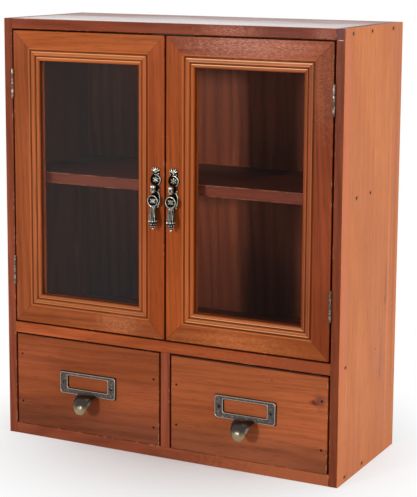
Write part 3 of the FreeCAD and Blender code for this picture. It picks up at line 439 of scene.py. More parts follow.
def frame_finish(name, shades, grain, pith, low, high, spots, crest, bead_share):
    """Door frame moulding: figure along the member, painted shade in its grooves and on the wall
    beside the glass, a paler lip and beads with painted highlights on their crests, and dark
    mitres.

    The lines that run along it are each a distance inward and a width in millimetres, a strength
    and a tone."""
    crest_highlight_tone = (248, 188, 134)
    # Painted shade in the two grooves and on the wall beside the glass; paler lip and beads;
    # painted highlights along the crests.
    lines = ((18.8, 1.0, 0.8, (78, 32, 13)), (24.6, 0.7, 0.75, (82, 34, 14)),
             (17.2, 0.8, 0.6 * bead_share, (216, 126, 70)),
             (21.9, 1.7, 0.4 * bead_share, (206, 116, 58)),
             (20.3, 0.8, crest, crest_highlight_tone), (22.8, 0.4, crest * 0.6, crest_highlight_tone),
             (25.6, 0.7, crest, crest_highlight_tone),
             (27.0, 1.2, 0.4 * bead_share, (208, 120, 66)),
             (29.2, 1.1, 0.9, (56, 26, 14)))
    material, tree, shader, place = new_material(name)
    figured = wood(tree, place, shades, grain, pith, 0.0055, 0.3, 0.55)
    section = use_group(tree, MOULDING, place=place, low=low, high=high)
    colour = figured["Color"]
    for middle, width, share, tone in lines:
        away = maths(tree, "SUBTRACT", section["Inward"], middle * MM)
        line = between(tree, maths(tree, "ABSOLUTE", away), 0.0, width * MM, share, 0.0)
        colour = blend(tree, line, colour, stain(*tone))
    # Patches of painted sheen on the member, broken into specks.
    colour = marked(tree, place, colour, spots, speckled=True)
    mitre = between(tree, section["Mitre"], 0.0, 0.55 * MM, 0.7, 0.0)
    colour = blend(tree, mitre, colour, stain(74, 30, 14))
    flecks = between(tree, noise(tree, place, 700.0, 2.0), 0.5, 0.66, 0.0, 0.12)
    feed_all(tree, shader, {
        "Base Color": rub_and_glint_edges(tree, place, colour, low, high, 0.36, 0.6),
        "Roughness": between(tree, figured["Cloud"], 0.3, 0.7, 0.3, 0.48),
        "Specular IOR Level": VARNISH_SPECULAR, "Coat Weight": flecks, "Coat Roughness": 0.15,
        "Normal": bump(tree, figured["Height"], 0.4, 0.0003)})
    return material


def cast_finish(name, bright, dark, rub, roughness, rubbed_and_lit_along=None, grit=0.3, lacquer=0.0,
                mottle=1.0):
    """Antiqued casting in a bright and a dark tone, both as paint cards give them.

    It may grow paler along an axis, from one place in millimetres to another, as rubbed wear on
    some pieces and as painted light on others."""
    material, tree, shader, place = new_material(name)
    rubbed_and_lit = rub
    if rubbed_and_lit_along:
        axis, start, end, most = rubbed_and_lit_along
        along = split(tree, place)["xyz".index(axis)]
        rubbed_and_lit = between(tree, along, start * MM, end * MM, most, rub)
    patina = use_group(tree, PATINA, place=place, bright=stain(*bright), dark=stain(*dark),
                       rub=rubbed_and_lit, mottle=mottle)
    feed_all(tree, shader, {
        "Base Color": patina["Color"], "Metallic": 1.0, "Coat Weight": lacquer,
        "Coat Roughness": 0.2, "Normal": bump(tree, patina["Height"], grit, 0.0002),
        "Roughness": between(tree, patina["Rub"], 0.0, 1.0, roughness + 0.2, roughness)})
    return material


def clear_glass(name, clarity):
    """Window glass that lets lamp light and bounced light through unbent.

    What it lacks in clarity is dust that scatters."""
    material, tree, shader, place = new_material(name)
    dust = between(tree, noise(tree, place, 30.0, 3.0, 0.6), 0.35, 0.8, 0.92, 0.89)
    feed_all(tree, shader, {
        "Base Color": blend(tree, dust, (0, 0, 0, 1), (1, 1, 1, 1)), "Roughness": 0.0,
        "Transmission Weight": clarity, "IOR": 1.05})
    rays = tree.nodes.new("ShaderNodeLightPath").outputs
    unbent = maths(tree, "MAXIMUM", rays["Is Shadow Ray"], rays["Is Diffuse Ray"])
    mix_surface(tree, unbent, shader, tree.nodes.new("ShaderNodeBsdfTransparent"))
    return material


def moulded_plastic():
    material, tree, shader, place = new_material("brown_plastic")
    grain = noise(tree, place, 1600.0, 2.0)
    feed_all(tree, shader, {
        "Base Color": blend(tree, between(tree, grain, 0.3, 0.7), stain(92, 58, 40),
                            stain(112, 72, 50)),
        "Roughness": between(tree, grain, 0.3, 0.7, 0.42, 0.6),
        "Normal": bump(tree, grain, 0.2, 0.0002)})
    return material


# Making pieces. Their sizes are in millimetres.
def add_part(shape, part, place=NO_PLACE, paint=0):
    """Puts a finished part in place and joins it to the rest of a piece.

    Its paint is the number of a finish, or a test that gives a number for the middle of each
    face."""
    for face in part.faces:
        face.material_index = paint(face.calc_center_median() / MM) if callable(paint) else paint
    bmesh.ops.transform(part, matrix=place, verts=part.verts)
    bmesh.ops.recalc_face_normals(part, faces=part.faces)
    carrier = bpy.data.meshes.new("part")
    part.to_mesh(carrier)
    part.free()
    shape.from_mesh(carrier)
    bpy.data.meshes.remove(carrier)


def turned(profile, steps=24):
    """A part turned on a lathe from (radius, height) points."""
    part = bmesh.new()
    points = [part.verts.new((radius * MM, 0, height * MM)) for radius, height in profile]
    lines = [part.edges.new(pair) for pair in zip(points, points[1:])]
    bmesh.ops.spin(part, geom=points + lines, cent=(0, 0, 0), axis=(0, 0, 1), angle=FULL_TURN,
                   steps=steps, use_merge=True, use_duplicate=False)
    bmesh.ops.remove_doubles(part, verts=part.verts, dist=0.00001 * MM)
    return part


def wire_ring(radius, wire):
    """A round wire bent into a ring about the upright axis."""
    part = bmesh.new()
    circle = bmesh.ops.create_circle(part, segments=10, radius=wire * MM)["verts"]
    turn = shift(radius, 0, 0) @ Matrix.Rotation(QUARTER_TURN, 4, "X")
    bmesh.ops.transform(part, matrix=turn, verts=circle)
    bmesh.ops.spin(part, geom=circle + part.edges[:], cent=(0, 0, 0), axis=(0, 0, 1),
                   angle=FULL_TURN, steps=36, use_merge=True)
    return part


def bead(radius):
    part = bmesh.new()
    bmesh.ops.create_icosphere(part, subdivisions=2, radius=radius * MM)
    return part


def leaf(length, width, rise):
    """A cast leaf that lies along +Y from its root, widest past its middle."""
    part = bmesh.new()
    bmesh.ops.create_uvsphere(part, u_segments=12, v_segments=12, radius=0.5)
    bmesh.ops.rotate(part, cent=(0, 0, 0), matrix=Matrix.Rotation(-QUARTER_TURN, 3, "X"),
                     verts=part.verts)
    for vert in part.verts:
        along = vert.co.y + 0.5
        vert.co.x *= width * MM * (0.45 + 0.9 * along * (1.35 - along))
        vert.co.y = along * length * MM
        vert.co.z *= rise * MM * (1.1 - 0.5 * along)
    return part


def bar(size, round_over):
    """A block about the origin, with rounded edges."""
    part = bmesh.new()
    bmesh.ops.create_cube(part, size=1.0)
    bmesh.ops.scale(part, vec=[side * MM for side in size], verts=part.verts)
    bmesh.ops.bevel(part, geom=part.edges[:], offset=round_over * MM, offset_type="OFFSET",
                    segments=2, profile=0.5, affect="EDGES", material=-1)
    return part


def cut(part, point, normal, **values):
    """Cuts a whole part along a plane."""
    return bmesh.ops.bisect_plane(part, geom=part.verts[:] + part.edges[:] + part.faces[:],
                                  plane_co=point, plane_no=normal, **values)


def only(kind, items):
    return [item for item in items if isinstance(item, kind)]


def round_corners(part, verts, reach, segments):
    """Rounds the corners of an outline."""
    bmesh.ops.bevel(part, geom=verts, offset=reach * MM, offset_type="OFFSET", segments=segments,
                    profile=0.5, affect="VERTICES", material=-1)


def put_in_scene(name, data):
    made = bpy.data.objects.new(name, data)
    bpy.context.scene.collection.objects.link(made)
    return made


def finish_piece(name, shape, finishes, body, stands_for, crease=38.0, round_over=0.0):
    """Makes an object of a shape, gives it its finishes and puts it on its body."""
    mesh = bpy.data.meshes.new(name)
    shape.to_mesh(mesh)
    shape.free()
    mesh.shade_smooth()
    mesh.set_sharp_from_angle(angle=math.radians(crease))
    for finish in finishes:
        mesh.materials.append(finish)
    piece = put_in_scene(name, mesh)
    if round_over:
        soften(piece, round_over)
    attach(piece, body)
    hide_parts(*stands_for)
    return piece


def soften(piece, width, weld=False):
    """Takes the sharpness off a piece's edges."""
    if weld:
        piece.modifiers.new("joined_faces", "WELD").merge_threshold = 0.001 * MM
    edge = piece.modifiers.new("softened_edges", "BEVEL")
    edge.width = width * MM
    edge.segments = 2
    edge.limit_method = "ANGLE"
    edge.angle_limit = math.radians(50)
    edge.use_clamp_overlap = True
    edge.harden_normals = False


# Boards and other carried-over parts
def repaint(node, finish):
    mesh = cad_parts[node].data
    mesh.materials.clear()
    mesh.materials.append(finish)


def paint_board(node, shades, grain, pith, **values):
    low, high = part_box(node)
    repaint(node, board_finish(node + "_finish", shades, grain, pith, low, high, **values))
    soften(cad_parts[node], 0.35, weld=True)


SIDE_NAILS = ((-54.8, 415), (-8.1, 415), (46.4, 415), (-39.2, 265.2), (-4.4, 265.2),
              (-58.7, 110.8), (-55.1, 5.5), (-11.6, 5.5))
DRAWER_NAILS = {"left": ((-163.3, 83.8), (-163.3, 34.6), (-12.5, 77.3), (-12.5, 29.0)),
                "right": ((12.5, 75.5), (12.5, 35.5), (163.3, 80.1), (163.3, 33.6))}


def paint_case():
    knot = (116, 62, 40)
    edges = {"left": tones(124, 58, 34), "right": tones(116, 52, 26)}
    # Marks on the outer face of a side: depth, height, size, squash and tone
    marks = [(31.5, 84.5, 3.6, (1, 1.3, 0.45), knot), (41.3, 155.7, 3.4, (1, 1.2, 0.5), knot),
             (45, 168, 15, (1, 1.7, 0.4), (176, 98, 60)),
             (33, 98, 12, (1, 1.7, 0.35), (182, 102, 64))]
    marks += [(depth, level, 2.7, (1, 0.65, 1), NAIL_STAIN) for depth, level in SIDE_NAILS]
    marks += [(62, 230, 300, (300, 45, 1), (188, 106, 62)),
              (48, 150, 260, (300, 70, 1), (216, 132, 82)),
              (-66, 260, 330, (300, 30, 1), (210, 116, 76))]
    # The second front mark is a painted highlight near the top of the front edge at the right.
    front_marks = [((174, FRONT, 416), 7.5, (1.2, 1, 0.8), (96, 52, 50)),
                   ((175.5, FRONT, 409.6), 3.6, (0.9, 1, 6), (226, 186, 176))]
    inside_from = FRONT + 1
    for side, name in SIDES:
        spots = [((side * SIDE_FACE, depth, level), size, squash, tone)
                 for depth, level, size, squash, tone in marks]
        paint_board(name + "_side_panel", edges[name], "z", (0.11 * side, 0.02, 0.06),
                    outside=side, wear=0.38, spots=spots + front_marks, shaded_from=inside_from)
    # The top's front edge gets patches of painted sheen, broken into specks.
    paint_board("top_panel", tones(128, 60, 36), "x", (0.05, -0.03, -0.46), wear=0.38,
                roughness=0.26, shaded_from=inside_from, polished_top=True,
                spots=[((120, FRONT, 416), 26, (0.5, 1, 1.6), (108, 48, 34))],
                speckled=[((66, FRONT, 415), 34, (0.75, 1, 3), (214, 150, 132)),
                          ((158, FRONT, 413), 12, (0.8, 1, 1.4), (206, 142, 120))])
    paint_board("bottom_board", tones(128, 62, 36), "x", (0.31, -0.05, 0.03), wear=0.38,
                spots=[((150, FRONT, 5), 110, (0.7, 1, 1), (158, 86, 52))])
    paint_board("middle_board", tones(156, 74, 32), "x", (0.71, 0.03, -0.13),
                shaded_from=inside_from,
                spots=[((165, FRONT, 111), 110, (0.6, 1, 1), (138, 64, 32))])
    paint_board("shelf", tones(108, 45, 24), "x", (0.17, 0.02, -0.30), wear=0.5,
                shaded_from=-56.2)
    paint_board("drawer_partition", tones(130, 62, 36), "z", (0.21, 0.03, 0.05))
    paint_board("back_panel", BACK_BROWN, "z", (0.05, -0.04, 0.09), ring=0.012, figure=0.6,
                wear=0.2, gloss=0.0, darker_below=160)


def paint_drawers():
    blotch = (88, 40, 26)
    knots = {"left": [], "right": [((161.5, FRONT, 80), 8.5, (1, 1, 0.75), (122, 64, 44)),
                                   ((113, FRONT, 93), 1.6, (1, 1, 1.5), blotch),
                                   ((155, FRONT, 78), 6, (0.8, 1, 1.6), blotch),
                                   ((93, FRONT, 62), 2.2, (0.6, 1, 1.4), (140, 70, 34))]}
    fronts = {"left": tones(136, 66, 31), "right": tones(156, 80, 41)}
    for side, name in SIDES:
        drawer = name + "_drawer_"
        knots[name] += [((across, FRONT, level), 2.0, (1, 1, 1), NAIL_STAIN)
                        for across, level in DRAWER_NAILS[name]]
        low, high = (Vector(corner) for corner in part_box(drawer + "front"))
        thick = Vector((10, 10, 1.5 + 0.35 * side)) * MM
        holder = side * HOLDER_ACROSS * MM
        # Painted shade round the label holder, for its shadow on the drawer front.
        grime = ((holder - 0.0327, -0.08, 0.0491), (holder + 0.0327, -0.07, 0.0735))
        paint_board(drawer + "front", fronts[name], "x", (0.13 * side, 0.09, -0.02 + 0.03 * side),
                    gap_shadow=((low.x - 0.01, low.y - 0.01, high.z - thick.z), high + thick),
                    ring=0.008, figure=0.3, streaks=0.55, wear=0.4, spots=knots[name],
                    darker_below=36, grime=grime)
        for board, grain, pith in (("left_side", "y", (0.05, 0.03, -0.04)),
                                   ("right_side", "y", (0.25, 0.02, -0.03)),
                                   ("back", "x", (0.15, -0.02, -0.05))):
            paint_board(drawer + board, PLAIN_WOOD, grain, pith, gloss=0.0, wear=0.1)
        paint_board(drawer + "bottom", PLAIN_WOOD, "x", (0.35, 0.05, 0.06), ring=0.012,
                    gloss=0.0, wear=0.0)


def paint_fittings():
    steel = cast_finish("plated_steel", (196, 192, 184), (120, 116, 110), 0.7, 0.3)
    nail = cast_finish("nail_steel", (58, 34, 26), (26, 12, 8), 0.2, 0.6)
    ferrite = cast_finish("ferrite", (70, 70, 74), (36, 36, 38), 0.4, 0.55)
    for node in ("case_screws", "left_door_screws", "right_door_screws",
                 "left_door_strike_plate", "right_door_strike_plate"):
        repaint(node, steel)
    for node in ("carcass_nails", "left_drawer_nails", "right_drawer_nails"):
        repaint(node, nail)
    repaint("catch_magnets", ferrite)
    repaint("catch_housing", moulded_plastic())
    clarity = {"left": 0.99, "right": 0.998}
    for side, name in SIDES:
        repaint(name + "_door_glass", clear_glass(name + "_glass_finish", clarity[name]))
        strips = name + "_door_glazing_strips"
        repaint(strips, board_finish(name + "_strip_finish", tones(150, 70, 30), "z",
                                     (0.1 * side, 0.05, 0.04), *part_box(strips)))


# Door frames
def moulded_length(length):
    """A length of door frame along +X, outer edge down and face forward, mitred at both ends.

    Its length is in metres. The corners of its section are each (inward, back)."""
    part = bmesh.new()
    corners = ((0, 0), (16.8, 0), (18.4, 1.5), (19.2, 1.5), (19.9, 0.15), (23.9, 0.15),
               (24.6, 1.5), (25.3, 0.75), (27.6, 1.1), (28.8, 2.2), (28.8, 5.4), (22.8, 5.4),
               (22.8, 14), (0, 14))
    bead_corners = (19.9, 23.9, 25.3, 27.6)
    section = part.faces.new([part.verts.new((0, back * MM, inward * MM))
                              for inward, back in corners])
    rounded = [vert for vert in section.verts if round(vert.co.z / MM, 1) in bead_corners]
    round_corners(part, rounded, 0.95, 4)
    drawn = bmesh.ops.extrude_face_region(part, geom=part.faces[:])["geom"]
    bmesh.ops.translate(part, vec=(length, 0, 0), verts=only(bmesh.types.BMVert, drawn))
    for end, lean in ((0, 1), (length, -1)):
        rim = cut(part, (end, 0, 0), (-lean, 0, 1), clear_outer=True)["geom_cut"]
        bmesh.ops.edgeloop_fill(part, edges=only(bmesh.types.BMEdge, rim))
    return part


# The members of the door frames: shades, how strong the painted highlights on their crests and how
# pale their beads are, and patches of painted sheen
MEMBERS = {
    "left_door_top_rail": (tones(161, 80, 33), 0.6, 1.0, ()),
    "left_door_bottom_rail": (tones(138, 68, 29), 0.35, 0.8, [
        ((-52, FRONT, 128), 30, (0.9, 1, 1.9), (214, 140, 96))]),
    "left_door_hinge_stile": (tones(138, 68, 30), 0.15, 0.8, ()),
    "left_door_meeting_stile": (tones(144, 64, 20), 0.15, 0.8, ()),
    "right_door_top_rail": (tones(132, 63, 34), 0.95, 1.0, [
        ((90, FRONT, 402), 62, (0.7, 1, 3.4), (232, 176, 158))]),
    "right_door_bottom_rail": (tones(140, 68, 26), 0.7, 1.0, [
        ((80, FRONT, 124), 75, (0.9, 1, 5), (208, 128, 72))]),
    "right_door_hinge_stile": (tones(120, 50, 16), 0.15, 0.3, [
        ((160, FRONT, 372), 50, (2.2, 1, 0.7), (170, 108, 78))]),
    "right_door_meeting_stile": (tones(152, 70, 22), 0.15, 0.8, ()),
}


def door_frames():
    for side, name in SIDES:
        low = Vector(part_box(name + "_door_bottom_rail")[0])
        high = Vector(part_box(name + "_door_top_rail")[1])
        wide, tall = high.x - low.x, high.z - low.z
        stiles = ("hinge_stile", "meeting_stile")
        left, right = stiles if side < 0 else stiles[::-1]
        members = (("bottom_rail", wide, low.x, low.z, 0), ("top_rail", wide, high.x, high.z, 180),
                   (left, tall, low.x, high.z, 90), (right, tall, high.x, low.z, -90))
        for number, (member, length, across, level, angle) in enumerate(members):
            node = f"{name}_door_{member}"
            shades, crest, bead_share, sheen_patches = MEMBERS[node]
            grain = "x" if member.endswith("rail") else "z"
            pith = (0.1 + 0.3 * number, 0.04 + 0.01 * number, 0.05 * side - 0.2 * (grain == "x"))
            finish = frame_finish(node + "_finish", shades, grain, pith, low, high, sheen_patches,
                                  crest, bead_share)
            turn = Matrix.Rotation(math.radians(angle), 4, "Y")
            shape = bmesh.new()
            add_part(shape, moulded_length(length),
                     Matrix.Translation((across, low.y, level)) @ turn)
            finish_piece(node + "_moulding", shape, [finish], name + "_door",
                         [node], round_over=0.3)


# Hinges
def knuckle(tall):
    """A hollow knuckle with rounded ends."""
    return turned([(0.75, 0), (0.95, 0), (1.2, 0.3), (1.32, 0.9), (1.32, tall - 0.9),
                   (1.2, tall - 0.3), (0.95, tall), (0.75, tall), (0.75, 0)])


def hinges():
    nickel = cast_finish("dull_nickel", (168, 146, 132), (82, 64, 55), 0.42, 0.28)
    tall = KNUCKLE_STEP - 0.3
    pins = bmesh.new()
    for side, name in SIDES:
        axis = side * HINGE_ACROSS
        for level in ("upper", "lower"):
            hinge = f"{name}_{level}_hinge"
            pin = turned([(0, 0), (0.5, 0), (0.7, 0.2), (0.7, 28.8), (0.5, 29), (0, 29)], 16)
            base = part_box(hinge + "_case_leaf")[0].z / MM
            add_part(pins, pin, shift(axis, HINGE_DEPTH, base))
            for part_name, outward, body in (("case", 1, "carcass"), ("door", -1, name + "_door")):
                node = f"{hinge}_{part_name}_leaf"
                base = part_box(node)[0].z / MM
                across = axis + side * outward * 0.55
                shape = bmesh.new()
                add_part(shape, bar((0.9, 11, 29), 0.2), shift(across, -66.6, base + 14.5))
                for number in range(0 if outward > 0 else 1, 3, 2):
                    start = base + KNUCKLE_STEP * number
                    add_part(shape, knuckle(tall), shift(axis, HINGE_DEPTH, start))
                    add_part(shape, bar((0.9, 2.0, tall), 0.15),
                             shift(across, -72.9, start + tall / 2))
                finish_piece(node + "_plate", shape, [nickel], body, [node])
    finish_piece("round_hinge_pins", pins, [nickel], "carcass", ["hinge_pins"])


# Drop pulls, built about the middle of their posts with their fronts up the third axis
BRIGHT, DARK, MIDDLING = range(3)


def facing(across, level, ahead=0.0):
    """A place on the front of the doors, in millimetres, whose third axis points forward."""
    return shift(across, FRONT - ahead, level) @ Matrix.Rotation(QUARTER_TURN, 4, "X")


def ridge(half_width, back=BRIGHT):
    """Rubbed along the middle of a leaf's back, dark down its flanks."""
    return lambda middle: back if abs(middle.x) < half_width and middle.z > 0 else DARK


def flower(shape, place, reach, petals):
    """Round petals about a bead."""
    for number in range(petals):
        turn = Matrix.Rotation(FULL_TURN * number / petals, 4, "Z")
        add_part(shape, leaf(reach, reach * 0.62, 1.2), place @ turn, ridge(reach * 0.2, MIDDLING))
    add_part(shape, bead(reach * 0.26), place @ shift(0, 0, 0.4), BRIGHT)


def medallion(shape, place, wall, lit_from=-9.0):
    """A round boss with a rim of wire, a hollow field and a flower in it."""
    field = turned([(0, 0), (5.2, 0), (5.5, 0.3), (5.5, wall), (4.9, wall), (4.6, wall - 0.5),
                    (0, wall - 0.6)], 36)
    add_part(shape, field, place, DARK)
    # Painted highlight: the front of the wire rim is bright only from a given place across
    # rightwards, where the lamps catch it.
    add_part(shape, wire_ring(5.15, 0.45), place @ shift(0, 0, wall),
             lambda middle: BRIGHT if middle.z > 0.1 and middle.x > lit_from else DARK)
    flower(shape, place @ shift(0, 0, wall - 0.4), 3.6, 6)


def backplate():
    """The cast plate: a crown of leaves, a medallion, an oval loop and a leaf at its tip."""
    shape = bmesh.new()
    for number in range(5):
        lean = math.radians(-60 + 30 * number)
        place = shift(0, 13.6, 1.1) @ Matrix.Rotation(lean, 4, "Z")
        add_part(shape, leaf(5.2, 1.9, 2.0), place, ridge(0.5))
        add_part(shape, bead(0.62), place @ shift(0, 4.6, 0.3), BRIGHT)
    crown = turned([(0, 0), (4.2, 0), (3.9, 0.9), (2.0, 1.7), (0, 1.9)], 20)
    add_part(shape, crown, shift(0, 12.2, 0), DARK)
    for along, height in ((-3.1, 12.4), (0, 13.4), (3.1, 12.4)):
        add_part(shape, bead(0.8), shift(along, height, 1.5), BRIGHT)
    medallion(shape, shift(0, 6.2, 0), 1.5, -1.0)
    oval = Matrix.Diagonal((4.35 / 6, 7.55 / 6, 1, 1))
    filled = turned([(0, 0), (5.6, 0), (5.2, 0.5), (0, 0.7)], 36)
    add_part(shape, filled, shift(0, -11.6, 0) @ oval, DARK)
    # Painted highlight: the front of the oval wire is bright only on its right-hand part, where the
    # lamps catch it.
    add_part(shape, wire_ring(6, 0.9), shift(0, -11.6, 0.85) @ oval,
             lambda middle: BRIGHT if middle.z > 0.35 and middle.x > -1 else DARK)
    inner = shift(0, -11.6, 0.7) @ Matrix.Diagonal((2.9 / 4, 5.8 / 4, 1, 1))
    add_part(shape, wire_ring(4, 0.45), inner, DARK)
    add_part(shape, bar((5.4, 8.6, 2.2), 0.6), shift(0, -0.6, 1.1), DARK)
    for hand in (-1, 1):
        add_part(shape, bead(1.1), shift(hand * 3.5, -3.2, 1.2), BRIGHT)
        add_part(shape, bead(0.9), shift(hand * 2.6, -19.4, 1.0), BRIGHT)
    tip = shift(0, -18.0, 0.8) @ Matrix.Rotation(math.pi, 4, "Z")
    add_part(shape, leaf(6.2, 3.0, 1.8), tip, ridge(0.5))
    return shape


def pull_post():
    """The post that stands out of the plate, its eye and its cross pin."""
    shape = bmesh.new()
    stem = turned([(0, -10), (1.3, -10), (1.3, 2.4), (2.3, 2.4), (2.3, 3.0), (1.9, 3.4),
                   (1.2, 3.6), (1.2, 5.4), (0, 5.4)])
    add_part(shape, stem, NO_PLACE, DARK)
    pivot = shift(0, 0, PULL_AHEAD) @ Matrix.Rotation(QUARTER_TURN, 4, "Y")
    eye = turned([(0, -0.95), (1.7, -0.95), (2.1, -0.6), (2.1, 0.6), (1.7, 0.95), (0, 0.95)])
    add_part(shape, eye, pivot, BRIGHT)
    pin = turned([(0, -2.2), (0.5, -2.15), (0.8, -1.9), (0.8, 1.9), (0.5, 2.15), (0, 2.2)], 16)
    add_part(shape, pin, pivot, BRIGHT)
    return shape


def fluted_bell():
    """The bell above the bulb, with ten hollow flutes down it."""
    part = turned([(0, -17.4), (1.8, -17.4), (2.4, -18.6), (2.6, -20.5), (2.9, -23), (3.3, -26),
                   (3.8, -28.8), (4.2, -31), (3.9, -31.6), (0, -31.6)], 48)
    for vert in part.verts:
        turn = math.atan2(vert.co.y, vert.co.x)
        draw = 1 - 0.22 * (0.5 - 0.5 * math.cos(10 * turn)) ** 1.5
        if -31.2 * MM < vert.co.z < -18 * MM:
            vert.co.x *= draw
            vert.co.y *= draw
    return part


def pull_drop():
    """The drop that hangs on the cross pin: ears, collar, medallion, bell, bulb and finial."""
    shape = bmesh.new()
    pivot = shift(0, 0, PULL_AHEAD) @ Matrix.Rotation(-QUARTER_TURN, 4, "X")
    sideways = pivot @ Matrix.Rotation(QUARTER_TURN, 4, "Y")
    for hand in (-1, 1):
        ear = turned([(0.84, -0.5), (1.7, -0.5), (2.1, -0.15), (2.1, 0.15), (1.7, 0.5),
                      (0.84, 0.5), (0.84, -0.5)])
        add_part(shape, ear, sideways @ shift(0, 0, hand * 1.55), BRIGHT)
        neck = bar((1.0, 2.4, 3.2), 0.3)
        add_part(shape, neck, pivot @ shift(hand * 1.55, 0, -2.4), BRIGHT)
    collar = turned([(0, -2.4), (1.9, -2.4), (2.1, -2.8), (1.7, -3.3), (1.7, -4.5), (2.1, -5.0),
                     (1.9, -5.4), (1.0, -5.9), (1.0, -8.6), (1.5, -9.0), (1.0, -9.5),
                     (1.0, -18.6), (0, -18.6)])
    add_part(shape, collar, pivot, lambda middle: (
        MIDDLING if middle.z > -4.6 else BRIGHT if middle.z > -5.5 else DARK))
    medallion(shape, shift(0, -13.2, 5.5), 1.9)
    back = shift(0, -13.2, 5.7) @ Matrix.Rotation(math.pi, 4, "Y")
    add_part(shape, turned([(0, 0), (4.6, 0), (3.4, 0.5), (0, 0.7)]), back, DARK)
    add_part(shape, fluted_bell(), pivot, lambda middle: (
        MIDDLING if math.cos(10 * math.atan2(middle.y, middle.x)) > 0.2 else DARK))
    bulb = turned([(0, -31.4), (3.7, -31.4), (3.9, -32.2), (3.9, -34.4), (3.4, -36.0),
                   (2.5, -37.3), (1.4, -38.2), (0.9, -38.8), (0, -39)], 32)
    add_part(shape, bulb, pivot, DARK)
    for height, reach, size, start, count in ((-32.3, 3.4, 1.15, 0.25, 9),
                                              (-34.9, 3.1, 0.95, 0.75, 9),
                                              (-37.1, 2.3, 0.7, 0.25, 8)):
        for number in range(count):
            turn = FULL_TURN * (number + start) / count
            place = pivot @ shift(reach * math.cos(turn), reach * math.sin(turn), height)
            add_part(shape, bead(size), place, BRIGHT)
    finial = turned([(0, -38.6), (0.8, -38.6), (1.3, -39.4), (1.35, -40.2), (0.9, -41.0),
                     (0, -41.4)], 20)
    add_part(shape, finial, pivot, BRIGHT)
    return shape


def pulls():
    finishes = [
        cast_finish("rubbed_bronze", (198, 192, 178), (84, 79, 70), 0.55, 0.24),
        cast_finish("dark_bronze", (40, 37, 33), (16, 14, 12), 0.2, 0.4),
        cast_finish("half_rubbed_bronze", (164, 160, 150), (82, 78, 71), 0.48, 0.24)]
    for side, name in SIDES:
        for make, piece, node, body in ((backplate, "cast_backplate", "backplate", "_door"),
                                        (pull_post, "eye_post", "post", "_door"),
                                        (pull_drop, "cast_drop", "drop", "_pull")):
            shape = make()
            bmesh.ops.transform(shape, matrix=facing(side * PULL_ACROSS, PULL_LEVEL),
                                verts=shape.verts)
            finish_piece(f"{name}_pull_{piece}", shape, finishes, name + body,
                         [f"{name}_pull_{node}"])


# Label holders
def stepped_frame(width, tall, corner, steps):
    """A frame with rounded corners, drawn in steps from its back, over its face, to its window.

    Each step is a (width, height, distance ahead, lift) of its outline."""
    part = bmesh.new()
    bmesh.ops.create_grid(part, x_segments=1, y_segments=1, size=0.5)
    bmesh.ops.scale(part, vec=(width * MM, tall * MM, 1), verts=part.verts)
    round_corners(part, part.verts[:], corner, 5)
    cap = part.faces[:][0]
    at = (width, tall, 0.0, 0.0)
    for step in (*steps, at):
        drawn = bmesh.ops.extrude_face_region(part, geom=[cap])["geom"]
        bmesh.ops.delete(part, geom=[cap], context="FACES_ONLY")
        cap = only(bmesh.types.BMFace, drawn)[0]
        bmesh.ops.scale(part, vec=(step[0] / at[0], step[1] / at[1], 1), verts=cap.verts[:],
                        space=shift(0, -at[3], -at[2]))
        bmesh.ops.translate(part, vec=(0, (step[3] - at[3]) * MM, (step[2] - at[2]) * MM),
                            verts=cap.verts[:])
        at = step
    bmesh.ops.delete(part, geom=[cap], context="FACES_ONLY")
    bmesh.ops.remove_doubles(part, verts=part.verts, dist=0.001 * MM)
    return part


def holder_plate():
    """The frame for a label: raised rims round its outside and its window, and a sunk field."""
    return stepped_frame(63.2, 22.2, 2.8, (
        (63.2, 22.2, 1.7, 0), (62.6, 21.6, 2.2, 0), (61.6, 20.6, 2.2, 0), (61.0, 20.0, 1.6, 0),
        (48.0, 15.2, 1.6, 1.2), (47.4, 14.6, 2.1, 1.2), (46.4, 13.6, 2.1, 1.2),
        (45.6, 12.9, 1.5, 1.2), (45.6, 12.9, 0, 1.2)))


def finger_scoop():
    """A tongue that curves forward and down, crowned across and narrowing to its tip."""
    part = bmesh.new()
    bmesh.ops.create_grid(part, x_segments=18, y_segments=22, size=1.0)
    for vert in part.verts:
        side, turn = vert.co.x, (vert.co.y + 1) / 2
        cosine, sine = math.cos(turn * QUARTER_TURN), math.sin(turn * QUARTER_TURN)
        wide = SCOOP_WIDTH * (1 - 0.4 * turn - 0.37 * turn ** 6)
        crown = wide * (0.05 + 0.46 * turn - 0.36 * turn ** 2) * (1 - abs(side) ** 3)
        normal = Vector((0, SCOOP_REACH * cosine, SCOOP_DROP * sine)).normalized()
        path = Vector((side * wide / 2, SCOOP_DROP * (cosine - 1), 0.6 + SCOOP_REACH * sine))
        vert.co = (path + normal * crown) * MM
    bmesh.ops.recalc_face_normals(part, faces=part.faces)
    bmesh.ops.solidify(part, geom=part.faces[:], thickness=SCOOP_WALL * MM)
    return part


def screw_head(radius, rise):
    """A domed screw head with a cross recess."""
    part = turned([(0, -0.6), (radius, -0.6), (radius, 0.15), (radius * 0.86, rise * 0.62),
                   (radius * 0.5, rise * 0.93), (0, rise)])
    half, reach = 0.3 * MM, radius * 0.62 * MM
    for normal in ((1, 0, 0), (0, 1, 0)):
        for distance in (-reach, -half, half, reach):
            cut(part, Vector(normal) * distance, normal)
    part.normal_update()
    recess = []
    for face in part.faces:
        middle = face.calc_center_median()
        near, far = sorted((abs(middle.x), abs(middle.y)))
        if middle.z > 0 and near < half and far < reach:
            recess.append(face)
    sunk = bmesh.ops.extrude_face_region(part, geom=recess)["geom"]
    bmesh.ops.delete(part, geom=recess, context="FACES")
    bmesh.ops.translate(part, vec=(0, 0, -0.5 * rise * MM), verts=only(bmesh.types.BMVert, sunk))
    return part


